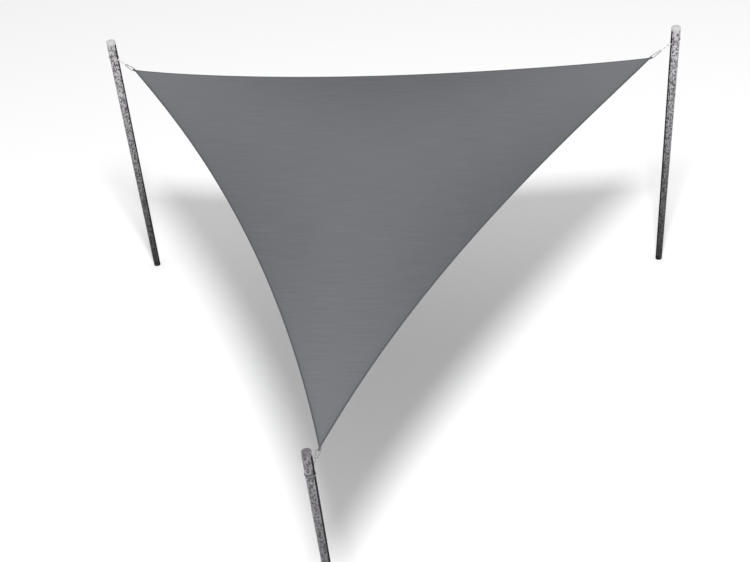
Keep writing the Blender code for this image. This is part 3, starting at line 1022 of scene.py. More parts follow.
# Darker copies of the back corner's finishes, used for the front corner.
FRONT_CORNER = CornerFinishes(
    rope=CordFinish(
        "rope_darker_front",
        light=(0.40, 0.395, 0.38),
        shade=(0.29, 0.285, 0.27),
        yarn_pitch=0.0045,
        yarns_round=5.0,
        rubbed=(0.125, 0.119, 0.131),
    ),
    twine=CordFinish(
        "twine_darker_front",
        light=(0.33, 0.325, 0.31),
        shade=(0.21, 0.205, 0.19),
        yarn_pitch=0.01,
        yarns_round=2.0,
    ),
    tube=GalvanisedFinish(
        "galvanised_dark", light=(0.225, 0.216, 0.23), dark=(0.022, 0.018, 0.025), foot_shade_curve=1.55
    ),
    cap=GalvanisedFinish("cap_dark_mottled", light=(0.165, 0.157, 0.17), dark=(0.065, 0.060, 0.068)),
)
HEM_THREAD = CordFinish(
    "hem_thread",
    light=(0.11, 0.112, 0.12),
    shade=(0.07, 0.072, 0.08),
    yarn_pitch=0.0012,
    yarns_round=2.0,
)
# A black band standing in for the shaded side of each post: a painted shadow.
SHADOW_STRIP_FINISH = PlainFinish(
    "strip_black",
    colour=(0.006, 0.006, 0.007),
    scuffed=(0.014, 0.014, 0.015),
    roughness=(0.62, 0.80),
    grain_scale=900.0,
    specular=0.12,
)


# ---------------------------------------------------------------- repeated shapes
@dataclass(frozen=True)
class Stitch:
    """The sizes of one kind of stitch."""

    pitch: float
    length: float
    thread: float


class StitchTree(GeometryTree):
    """Lays arched stitches end to end along lines, each thinner where it enters the cloth."""

    SIDES = 4
    ARCH_POINTS = 5
    ARCH_RISE = 0.4
    END_THINNING = 0.55

    def __init__(self) -> None:
        """Wires the tree."""
        sizes = {"Pitch": "Float", "Length": "Float", "Thread": "Float", "Up": "Vector"}
        super().__init__("stitch_row", sizes)
        paced = {"Curve": self.curve(self.given["Geometry"]), "Length": self.given["Pitch"]}
        points = self.add("GeometryNodeResampleCurve", paced, mode="LENGTH").outputs[0]
        facing = {0: self.add("GeometryNodeInputTangent").outputs[0], 1: self.given["Up"]}
        turn = self.add("FunctionNodeAxesToRotation", facing, primary_axis="X", secondary_axis="Z")
        half = self.math("MULTIPLY", self.given["Length"], 0.5)
        reach = [self.math("MULTIPLY", half, sign) for sign in (-1, 1)]
        start, end = (self.add("ShaderNodeCombineXYZ", {0: part}).outputs[0] for part in reach)
        line = self.add("GeometryNodeCurvePrimitiveLine", {"Start": start, "End": end}).outputs[0]
        counted = {"Curve": line, "Count": self.ARCH_POINTS}
        line = self.add("GeometryNodeResampleCurve", counted, mode="COUNT").outputs[0]
        along = self.add("GeometryNodeSplineParameter").outputs["Factor"]
        part = self.math("MULTIPLY_ADD", along, 2.0, -1.0)
        fall = self.math("MULTIPLY", part, part)
        rise = self.math("MULTIPLY", self.math("SUBTRACT", self.ARCH_RISE, fall), self.given["Thread"])
        lifted = {"Geometry": line, "Offset": self.add("ShaderNodeCombineXYZ", {2: rise}).outputs[0]}
        arch = self.add("GeometryNodeSetPosition", lifted).outputs[0]
        taper = self.math("MULTIPLY_ADD", fall, -self.END_THINNING, 1.0)
        stitch = self.tube(arch, self.given["Thread"], sides=self.SIDES, scale=taper)
        laid = {"Points": points, "Instance": stitch, "Rotation": turn.outputs[0]}
        self.end(self.add("GeometryNodeInstanceOnPoints", laid).outputs[0])

    def lay(self, lines: Mesh, stitch: Stitch, side: Side, thread: Material) -> Mesh:
        """Sews along lines.

        Args:
            lines: The lines.
            stitch: The kind of stitch.
            side: The face of the cloth or webbing that they lie on.
            thread: The thread's finish.

        Returns:
            The stitches.
        """
        up = (0.0, 0.0, side.value)
        sizes = {"Pitch": stitch.pitch, "Length": stitch.length, "Thread": stitch.thread, "Up": up}
        return self.run(lines, thread, **sizes)


class StrandTree(GeometryTree):
    """Twists three strands round a line."""

    STRANDS = 3
    SIDES = 10

    def __init__(self) -> None:
        """Wires the tree."""
        sizes = {"Strand": "Float", "Helix": "Float", "Lay": "Float", "Spacing": "Float"}
        super().__init__("rope_strands", sizes)
        paced = {"Curve": self.curve(self.given["Geometry"]), "Length": self.given["Spacing"]}
        line = self.add("GeometryNodeResampleCurve", paced, mode="LENGTH").outputs[0]
        along = self.add("GeometryNodeSplineParameter").outputs["Length"]
        line = self.named(line, "along", along)
        normal = self.add("GeometryNodeInputNormal").outputs[0]
        tangent = self.add("GeometryNodeInputTangent").outputs[0]
        beside = self.vector("CROSS_PRODUCT", tangent, normal)
        turned = self.math("MULTIPLY", self.math("DIVIDE", along, self.given["Lay"]), FULL_TURN)
        join = self.add("GeometryNodeJoinGeometry")
        for strand in range(self.STRANDS):
            angle = self.math("ADD", turned, FULL_TURN * strand / self.STRANDS)
            on_normal = self.scaled(normal, self.math("COSINE", angle))
            on_beside = self.scaled(beside, self.math("SINE", angle))
            off = self.scaled(self.vector("ADD", on_normal, on_beside), self.given["Helix"])
            wound = self.add("GeometryNodeSetPosition", {"Geometry": line, "Offset": off}).outputs[0]
            self.tree.links.new(self.tube(wound, self.given["Strand"], sides=self.SIDES), join.inputs[0])
        self.end(join.outputs[0])


class WrapTree(GeometryTree):
    """Winds twine round a closed outline, turn beside turn."""

    SIDES = 8

    def __init__(self) -> None:
        """Wires the tree."""
        sizes = {"Turns": "Int", "Steps": "Int", "Pitch": "Float", "Twine": "Float"}
        super().__init__("twine_wraps", sizes)
        outline = self.curve(self.given["Geometry"])
        steps = self.given["Steps"]
        count = self.math("ADD", self.math("MULTIPLY", self.given["Turns"], steps), 1.0)
        line = self.add("GeometryNodeCurvePrimitiveLine").outputs[0]
        counted = {"Curve": line, "Count": count}
        line = self.add("GeometryNodeResampleCurve", counted, mode="COUNT").outputs[0]
        turn = self.math("DIVIDE", self.add("GeometryNodeInputIndex").outputs[0], steps)
        line = self.named(line, "along", turn)
        found = {"Curves": outline, "Factor": self.math("FRACT", turn)}
        sample = self.add("GeometryNodeSampleCurve", found, mode="FACTOR", use_all_curves=True)
        onward = self.add("ShaderNodeCombineXYZ", {0: self.math("MULTIPLY", turn, self.given["Pitch"])})
        place = self.vector("ADD", sample.outputs["Position"], onward.outputs[0])
        wound = {"Geometry": line, "Position": place}
        helix = self.add("GeometryNodeSetPosition", wound).outputs[0]
        self.end(self.tube(helix, self.given["Twine"], sides=self.SIDES))


def rounded_outline(circles: Sequence[tuple[float, float, float]], step: float) -> list[Spot]:
    """Draws a closed line tight round several circles.

    Args:
        circles: Each circle's x, y and radius, anticlockwise.
        step: The greatest turn between two points, in radians.

    Returns:
        The line's points.
    """
    normals = []
    for index, (x, y, radius) in enumerate(circles):
        next_x, next_y, next_radius = circles[(index + 1) % len(circles)]
        away = math.atan2(next_y - y, next_x - x)
        distance = math.hypot(next_x - x, next_y - y)
        normals.append(away - math.pi / 2 + math.asin((radius - next_radius) / distance))
    points = []
    for index, (x, y, radius) in enumerate(circles):
        first = normals[index - 1]
        sweep = (normals[index] - first) % FULL_TURN
        count = max(1, math.ceil(sweep / step))
        for turn in range(count + 1):
            angle = first + sweep * turn / count
            points.append((x + radius * math.cos(angle), y + radius * math.sin(angle)))
    return points


# ---------------------------------------------------------------- corner fittings
@dataclass(frozen=True)
class PearRing:
    """A pear-shaped ring of round wire: a straight bar in the tab, narrowing to the rope's end."""

    plan: SailPlan
    wire_radius: float = 0.004
    length: float = 0.117
    half_width: float = 0.020
    bar_rounding: float = 0.006
    apex_rounding: float = 0.008
    weld_at: float = 0.068
    weld_half_length: float = 0.005
    weld_swell: float = 0.10
    turn_step: float = math.radians(9)
    point_spacing: float = 0.0015
    section_detail: int = 6

    def build(self, corner: Corner, material: Material) -> Piece:
        """Makes one ring.

        Args:
            corner: The corner that it holds.
            material: Its finish.

        Returns:
            The ring's piece.
        """
        side = self.half_width - self.bar_rounding
        circles = (
            (self.bar_rounding, side, self.bar_rounding),
            (self.bar_rounding, -side, self.bar_rounding),
            (self.length - self.apex_rounding, 0.0, self.apex_rounding),
        )
        outline = self.finer(rounded_outline(circles, self.turn_step), self.point_spacing)
        name = f"ring_{corner.name}"
        curve = bpy.data.curves.new(name, "CURVE")
        curve.dimensions = "3D"
        curve.bevel_depth, curve.bevel_resolution = self.wire_radius, self.section_detail
        spline = curve.splines.new("POLY")
        spline.points.add(len(outline) - 1)
        spline.use_cyclic_u = True
        for point, (x, y) in zip(spline.points, outline):
            off_weld = (x - self.weld_at) / self.weld_half_length
            on_weld = max(0.0, 1.0 - off_weld**2) if y > 0 else 0.0
            point.co = (x, y, 0.0, 1.0)
            point.radius = 1.0 + self.weld_swell * on_weld
        holder = bpy.data.objects.new(curve.name, curve)
        bpy.context.scene.collection.objects.link(holder)
        mesh = plain_mesh(holder)
        bpy.data.objects.remove(holder)
        mesh.transform(self.plan.line_frame(corner, math.radians(corner.rope_pitch)))
        return show(name, mesh, material, [name])

    def finer(self, outline: Sequence[Spot], step: float) -> list[Spot]:
        """Adds points to a closed line.

        Args:
            outline: The line.
            step: About the greatest distance between two of its points.

        Returns:
            The finer line.
        """
        points = []
        for (x, y), (next_x, next_y) in zip(outline, [*outline[1:], outline[0]]):
            count = max(1, round(math.hypot(next_x - x, next_y - y) / step))
            for part in range(count):
                points.append((x + (next_x - x) * part / count, y + (next_y - y) * part / count))
        return points


@dataclass(frozen=True)
class CornerTab:
    """Webbing folded round the ring's bar, its two ends sewn over and under the cloth's corner."""

    plan: SailPlan
    width: float = 0.020
    length: float = 0.034
    thickness: float = 0.002
    clearance: float = 0.0009
    hem_thickness: float = 0.004
    fold_start: float = 0.009
    fold_turn: float = math.radians(120)
    fold_steps: int = 28
    loop_radius: float = 0.0056
    columns: int = 8
    edge_rounding: float = 0.0005
    rounding_steps: int = 2
    rounded_past: float = math.radians(50)
    stitch: Stitch = Stitch(pitch=0.0030, length=0.0026, thread=0.00032)
    stitch_margin: float = 0.0035

    def build(self, corner: Corner, material: Material) -> Piece:
        """Makes one tab.

        Args:
            corner: The corner that it holds.
            material: Its finish.

        Returns:
            The tab's piece.
        """
        half_gap = self.hem_thickness / 2 + self.clearance + self.thickness / 2
        line = [(-self.length, -half_gap), ((-self.length - self.fold_start) / 2, -half_gap)]
        line.append((-self.fold_start, -half_gap))
        for step in range(self.fold_steps + 1):
            turn = self.fold_turn * (2 * step / self.fold_steps - 1)
            line.append((self.loop_radius * math.cos(turn), self.loop_radius * math.sin(turn)))
        # The upper end mirrors the lower one.
        line += [(x, -z) for x, z in line[2::-1]]
        travelled = [0.0]
        for (x, z), (next_x, next_z) in zip(line, line[1:]):
            travelled.append(travelled[-1] + math.hypot(next_x - x, next_z - z))
        work = bmesh.new()
        flat = work.loops.layers.uv.new("webbing_flat")
        across = [self.width * (column / self.columns - 0.5) for column in range(self.columns + 1)]
        rows = [[work.verts.new((x, y, z)) for y in across] for x, z in line]
        for row in range(len(rows) - 1):
            for column in range(self.columns):
                places = ((row, column), (row, column + 1), (row + 1, column + 1), (row + 1, column))
                face = work.faces.new([rows[r][c] for r, c in places])
                for loop, (r, c) in zip(face.loops, places):
                    loop[flat].uv = (travelled[r], across[c])
        name = f"corner_tab_{corner.name}"
        holder = bpy.data.objects.new(name, mesh_from(work, name))
        bpy.context.scene.collection.objects.link(holder)
        shell = holder.modifiers.new("thickness", "SOLIDIFY")
        shell.thickness, shell.offset = self.thickness, 0.0
        soft = holder.modifiers.new("edges", "BEVEL")
        soft.width, soft.segments = self.edge_rounding, self.rounding_steps
        soft.angle_limit = self.rounded_past
        mesh = plain_mesh(holder)
        bpy.data.objects.remove(holder)
        mesh.transform(self.plan.line_frame(corner, self.plan.cloth_pitch(corner)))
        return show(name, mesh, material, [name])

    def sew(self, corner: Corner, tree: StitchTree, thread: Material) -> Piece:
        """Sews the tab's two faces with a crossed box.

        Args:
            corner: The corner.
            tree: The tree that lays the stitches.
            thread: The thread's finish.

        Returns:
            The stitches' piece.
        """
        face = self.hem_thickness / 2 + self.clearance + self.thickness
        start, end = -self.length + self.stitch_margin, -self.fold_start - self.stitch_margin / 2
        side = self.width / 2 - self.stitch_margin
        box = [(start, -side), (end, -side), (end, side), (start, side), (start, -side)]
        crossed = [box, [box[0], box[2]], [box[1], box[3]]]
        made = bmesh.new()
        for shown in Side:
            lines = [[Vector((x, y, shown.value * face)) for x, y in line] for line in crossed]
            made.from_mesh(tree.lay(line_mesh("tab_box", lines), self.stitch, shown, thread))
        name = f"tab_stitches_{corner.name}"
        mesh = mesh_from(made, name)
        mesh.transform(self.plan.line_frame(corner, self.plan.cloth_pitch(corner)))
        return show(name, mesh, thread)


# ---------------------------------------------------------------- ropes
@dataclass(frozen=True)
class TieRope:
    """A short three-strand rope: an eye on the ring, a standing part and a loop round the post."""

    plan: SailPlan
    ring: PearRing
    radius: float = 0.003
    spacing: float = 0.0072
    eye_radius: float = 0.0123
    eye_clearance: float = 0.0009
    leg_spacing: float = 0.0036
    leg_lead: float = 0.003
    leg_end_inset: float = 0.001
    eye_shoulder: tuple[Spot, ...] = ((0.145, 0.0068), (0.134, 0.0108))
    post_shoulder: tuple[Spot, ...] = ((0.2300, 0.0073), (0.2355, 0.0135))
    seizing_length: float = 0.017
    ring_seizing_start: float = 0.157
    post_seizing_start: float = 0.2025
    loop_opening: float = math.radians(30)
    loop_step: float = math.radians(10)
    lift_full: float = math.radians(21)
    lift_fall: float = math.radians(14)
    lay_length: float = 0.021
    strand_spacing: float = 0.0012

    def ring_leg(self, side: int) -> list[RoutePoint]:
        """Gives one leg of the eye, from inside its seizing to the eye's side.

        Args:
            side: 1 for the leg above the line, -1 for the one under it.

        Returns:
            The leg's points.
        """
        start, off = self.ring_seizing_start, side * self.leg_spacing
        held = (start + self.seizing_length - self.leg_end_inset, start, start - self.leg_lead)
        return [(along, 0.0, off) for along in held] + [(x, 0.0, side * z) for x, z in self.eye_shoulder]

    def post_leg(self, side: int) -> list[RoutePoint]:
        """Gives one leg of the post's loop, from inside its seizing towards the post's side.

        Args:
            side: 1 or -1, for the side of the line that it lies on.

        Returns:
            The leg's points.
        """
        end = self.post_seizing_start + self.seizing_length
        held = (self.post_seizing_start + self.leg_end_inset, end, end + self.leg_lead)
        off = side * self.leg_spacing
        return [(along, off, 0.0) for along in held] + [(x, side * y, 0.0) for x, y in self.post_shoulder]

    def standing_part(self) -> list[RoutePoint]:
        """Gives the single length between the seizings.

        Returns:
            Its points, which cross from under the line to beside it.
        """
        leaves, arrives = self.ring_seizing_start + self.seizing_length, self.post_seizing_start
        off = self.leg_spacing
        return [
            (leaves, 0.0, -off),
            (leaves + self.leg_lead, 0.0, -off),
            ((leaves + arrives) / 2, -off / 2, -off / 2),
            (arrives - self.leg_lead, -off, 0.0),
            (arrives, -off, 0.0),
        ]

    def eye_nose(self) -> list[RoutePoint]:
        """Gives the rope's turn round the ring's wire.

        Returns:
            Its points.
        """
        inner = self.ring.length - self.ring.wire_radius - self.eye_clearance - self.radius
        turns = [math.radians(90 + 45 * step) for step in range(5)]
        middle, size = inner + self.eye_radius, self.eye_radius
        return [(middle + size * math.cos(turn), 0.0, size * math.sin(turn)) for turn in turns]

    def strip_lift(self, corner: Corner, turn: float) -> float:
        """Gives how much further out the rope lies where it crosses the post's dark strip.

        Args:
            corner: The post's corner.
            turn: How far round the post, in radians from the sail's side.

        Returns:
            The extra distance from the post's axis.
        """
        off_strip = corner.post_bearing + 180 + math.degrees(turn) - corner.strip_bearing
        away = abs(math.remainder(math.radians(off_strip), FULL_TURN))
        fall = min(max((away - self.lift_full) / self.lift_fall, 0.0), 1.0)
        full = self.plan.strip_thickness + self.plan.gap + self.plan.facet_allowance
        return full * (1 - fall * fall * (3 - 2 * fall))

    def post_loop(self, corner: Corner) -> list[RoutePoint]:
        """Gives the rope's turn round the leaning post, in the pitched plane that its pull gives it.

        Args:
            corner: The post's corner.

        Returns:
            Its points.
        """
        reach = self.plan.post_reach - self.plan.bar_out
        pitch = math.radians(corner.rope_pitch)
        lean_turn = math.radians(corner.lean_bearing - corner.post_bearing)
        lean_along = math.tan(self.plan.post_lean) * math.cos(lean_turn)
        lean_across = math.tan(self.plan.post_lean) * math.sin(lean_turn)
        bar_height = self.plan.bar_point(corner).z
        off_post = self.plan.gap + self.radius + self.plan.facet_allowance
        count = round((FULL_TURN - 2 * self.loop_opening) / self.loop_step)
        points = []
        for step in range(count + 1):
            turn = self.loop_opening + self.loop_step * step
            rise = (reach - self.plan.top_radius(corner) * math.cos(turn)) * math.tan(pitch)
            radius = self.plan.post_radius(corner, bar_height + rise) + off_post
            radius += self.strip_lift(corner, turn)
            level = (reach - radius * math.cos(turn)) / (1.0 - lean_along * math.tan(pitch))
            across = lean_across * level * math.tan(pitch) - radius * math.sin(turn)
            points.append((level / math.cos(pitch), across, 0.0))
        return points

    def route(self, corner: Corner) -> list[Vector]:
        """Gives the whole rope: eye, standing part, then the post's loop.

        Args:
            corner: The corner that it ties.

        Returns:
            The rope's smooth line in the frame.
        """
        route = self.ring_leg(1) + self.eye_nose() + self.ring_leg(-1)[:0:-1] + self.standing_part()
        route += self.post_leg(-1)[1:] + self.post_loop(corner) + self.post_leg(1)[::-1]
        place = self.plan.line_frame(corner, math.radians(corner.rope_pitch))
        return [place @ point for point in smooth_line([Vector(point) for point in route], self.spacing)]

    def build(self, corner: Corner, tree: StrandTree, material: Material) -> Piece:
        """Args:
            corner: The corner that it ties.
            tree: The tree that twists its strands.
            material: Its finish.

        Returns:
            The rope's piece.
        """
        path = self.route(corner)
        name = f"tie_rope_{corner.name}"
        strand = self.radius / (1 + 2 / math.sqrt(3))
        mesh = tree.run(
            line_mesh(name, [path]),
            material,
            Strand=strand,
            Helix=self.radius - strand,
            Lay=self.lay_length,
            Spacing=self.strand_spacing,
        )
        rope = show(name, mesh, material, [name])
        return rope


SPAN_SAMPLES = 12


def smooth_line(route: Sequence[Vector], spacing: float) -> list[Vector]:
    """Reads evenly spaced points from a smooth curve through a route's points.

    Args:
        route: The points that the curve passes through.
        spacing: About how far apart the points read from it are.

    Returns:
        The points, both ends among them.
    """
    fine = []
    padded = [2 * route[0] - route[1], *route, 2 * route[-1] - route[-2]]
    for before, start, end, after in zip(padded, padded[1:], padded[2:], padded[3:]):
        length = (end - start).length
        leaving = ((end - start) / length + (start - before).normalized()) * length / 2
        arriving = ((end - start) / length + (after - end).normalized()) * length / 2
        for step in range(SPAN_SAMPLES):
            t = step / SPAN_SAMPLES
            bend = leaving * (t - 2 * t**2 + t**3) + arriving * (t**3 - t**2)
            fine.append(start + (end - start) * (3 * t**2 - 2 * t**3) + bend)
    fine.append(route[-1])
    travelled = [0.0]
    for start, end in zip(fine, fine[1:]):
        travelled.append(travelled[-1] + (end - start).length)
    count = round(travelled[-1] / spacing)
    points, index = [], 0
    for step in range(count + 1):
        wanted = travelled[-1] * step / count
        while index < len(fine) - 2 and travelled[index + 1] < wanted:
            index += 1
        part = (wanted - travelled[index]) / (travelled[index + 1] - travelled[index])
        points.append(fine[index].lerp(fine[index + 1], part))
    return points


@dataclass(frozen=True)
class Seizing:
    """Twine wound tight round two legs of rope."""

    rope: TieRope
    twine_radius: float = 0.0007
    turns: int = 12
    steps: int = 36
    corner_turn: float = math.radians(12)

    def build(self, corner: Corner, bind: Bind, tree: WrapTree, material: Material) -> Piece:
        """Makes one seizing.

        Args:
            corner: The corner whose rope it closes.
            bind: Which of the rope's two eyes it closes.
            tree: The tree that winds its twine.
            material: Its finish.

        Returns:
            The seizing's piece.
        """
        plan, spread = self.rope.plan, self.rope.leg_spacing
        clear = self.rope.radius + plan.gap + plan.facet_allowance + self.twine_radius
        outline = rounded_outline(((spread, 0.0, clear), (-spread, 0.0, clear)), self.corner_turn)
        if bind is Bind.UPRIGHT:
            start = self.rope.ring_seizing_start + self.twine_radius
            line = [Vector((start, -off, along)) for along, off in outline]
        else:
            start = self.rope.post_seizing_start + self.twine_radius
            line = [Vector((start, along, off)) for along, off in outline]
        name = f"{bind.value}_{corner.name}"
        mesh = tree.run(
            line_mesh(name, [line], closed=True),
            material,
            Turns=self.turns,
            Steps=self.steps,
            Pitch=(self.rope.seizing_length - 2 * self.twine_radius) / self.turns,
            Twine=self.twine_radius,
        )
        mesh.transform(plan.line_frame(corner, math.radians(corner.rope_pitch)))
        return show(name, mesh, material, [name])


# ---------------------------------------------------------------- cloth
@dataclass(frozen=True)
class HemRing:
    """A ring of the cloth's border: how far in from the edge it lies, and half its thickness there."""

    inset: float
    half: float


@dataclass(frozen=True)
class SailCloth:
    """The sail: a hollow-cut triangle of cloth with a bound edge and a folded, twice-sewn hem."""

    plan: SailPlan
    divisions: int = 96
    half_cloth: float = 0.001
    half_hem: float = 0.0017
    half_binding: float = 0.0020
    flat_width: float = 5.0
    flat_depth: float = 6.0
    flat_area: float = 12.34
    stitch: Stitch = Stitch(pitch=0.0070, length=0.0058, thread=0.00045)
    binding_row: float = 0.0105
    hem_row: float = 0.0260
    inner_mark: float = 0.05
    # Painted shade: how far in from the edges it reaches, and how much it darkens towards the front corner.
    shade_reach: float = 0.6
    front_shade: float = 0.125

    def border_rings(self) -> list[HemRing]:
        """Lists the rings from the bound edge, over the hem, to the single cloth.

        Returns:
            The rings, from the outside in.
        """
        return [
            HemRing(inset=0.0002, half=0.0011),
            HemRing(inset=0.0010, half=0.0018),
            HemRing(inset=0.0020, half=self.half_binding),
            HemRing(inset=0.0125, half=self.half_binding),
            HemRing(inset=0.0135, half=self.half_hem),
            HemRing(inset=0.0200, half=self.half_hem + 0.0001),
            HemRing(inset=0.0290, half=self.half_hem),
            HemRing(inset=0.0300, half=self.half_hem - 0.0002),
            HemRing(inset=0.0308, half=self.half_cloth),
        ]

    def painted_shade(self, weights: Sequence[float]) -> float:
        """Gives how much painted shade darkens the cloth at a place, towards its edges and its front.

        Args:
            weights: The place's weights of the three corners.

        Returns:
            The share of the cloth's grey that the painted shade takes away.
        """
        lost = self.front_shade * weights[-1]
        for edge in self.plan.edges:
            start, end = max(weights[edge.start], 0.0), max(weights[edge.end], 0.0)
            across = max(0.0, 1.0 - (1.0 - start - end) / self.shade_reach)
            lost += edge.shade * (4 * start * end) ** 2 * across * across * (3 - 2 * across)
        return 1.0 - math.exp(-lost)

    def build(self, material: Material) -> Piece:
        """Makes the sail.

        Args:
            material: Its finish.

        Returns:
            The sail's piece.
        """
        work = bmesh.new()
        mark = work.verts.layers.float.new("edge_in")
        painted_shade = work.verts.layers.float.new("painted_shade")
        steps = self.divisions
        walk = self.plan.border_weights(steps)

        def ring(inset: float, off: float) -> list[bmesh.types.BMVert]:
            """Adds a closed ring of vertices.

            Args:
                inset: How far inside the cloth's edge it runs.
                off: How far above the cloth's middle surface it lies.

            Returns:
                The vertices in order.
            """
            made = []
            for weights, point in zip(walk, self.plan.border(inset, steps, off)):
                vert = work.verts.new(point)
                vert[mark], vert[painted_shade] = inset, self.painted_shade(weights)
                made.append(vert)
            return made

        def join(outer: list[bmesh.types.BMVert], inner: list[bmesh.types.BMVert]) -> None:
            """Joins two rings by a band of faces.

            Args:
                outer: One ring.
                inner: The other.
            """
            for index in range(len(outer)):
                after = (index + 1) % len(outer)
                work.faces.new((outer[index], outer[after], inner[after], inner[index]))

        nose, rings = ring(0.0, 0.0), self.border_rings()
        for side in Side:
            outer = nose
            for step in rings:
                inner = ring(step.inset, step.half * side.value)
                join(outer, inner)
                outer = inner
            self.fill(work, outer, side, rings[-1].inset)
        bmesh.ops.recalc_face_normals(work, faces=work.faces)
        flat = work.loops.layers.uv.new("cloth_flat")
        for face in work.faces:
            for loop in face.loops:
                loop[flat].uv = loop.vert.co.xy
        mesh = mesh_from(work, "sail_cloth")
        mesh.transform(self.plan.base())
        return show("sail_cloth_sewn", mesh, material, ["sail_cloth"], sharp=60.0)

    def fill(
        self, work: bmesh.types.BMesh, outer: Sequence[bmesh.types.BMVert], side: Side, inset: float
    ) -> None:
        """Fills the triangle inside a ring with rows of points.

        Args:
            work: The mesh.
            outer: The ring.
            side: The face of the cloth that it is on.
            inset: How far inside the cloth's edge the ring runs.
        """
        mark, painted_shade = work.verts.layers.float["edge_in"], work.verts.layers.float["painted_shade"]
        tips, steps = self.plan.tips(inset), self.divisions
        known = {}
        for vert, weights in zip(outer, self.plan.border_weights(steps)):
            known[tuple(round(weight * steps) for weight in weights)] = vert

        def at(left: int, right: int) -> bmesh.types.BMVert:
            """Gives a vertex of the lattice, which is made when it is first asked for.

            Args:
                left: How many steps it lies from the edge across from the left corner.
                right: The same for the right corner.

            Returns:
                The vertex.
            """
            key = (left, right, steps - left - right)
            if key not in known:
                weights = [part / steps for part in key]
                x, y = self.plan.patch_point(tips, weights)
                vert = work.verts.new((x, y, self.plan.height(x, y) + self.half_cloth * side.value))
                vert[mark], vert[painted_shade] = self.inner_mark, self.painted_shade(weights)
                known[key] = vert
            return known[key]

        for left in range(steps):
            for right in range(steps - left):
                work.faces.new((at(left, right), at(left + 1, right), at(left, right + 1)))
                if left + right < steps - 1:
                    work.faces.new((at(left + 1, right), at(left + 1, right + 1), at(left, right + 1)))

    def sew(self, side: Side, tree: StitchTree, thread: Material) -> Piece:
        """Sews the rows of the hem on one face of the cloth.

        Args:
            side: The face.
            tree: The tree that lays the stitches.
            thread: The thread's finish.

        Returns:
            The stitches' piece.
        """
        rows = ((self.binding_row, self.half_binding), (self.hem_row, self.half_hem))
        lines = [self.plan.border(inset, self.divisions, side.value * half) for inset, half in rows]
        mesh = tree.lay(line_mesh("hem_rows", lines, closed=True), self.stitch, side, thread)
        mesh.transform(self.plan.base())
        return show(f"hem_stitches_{side.name.lower()}", mesh, thread)


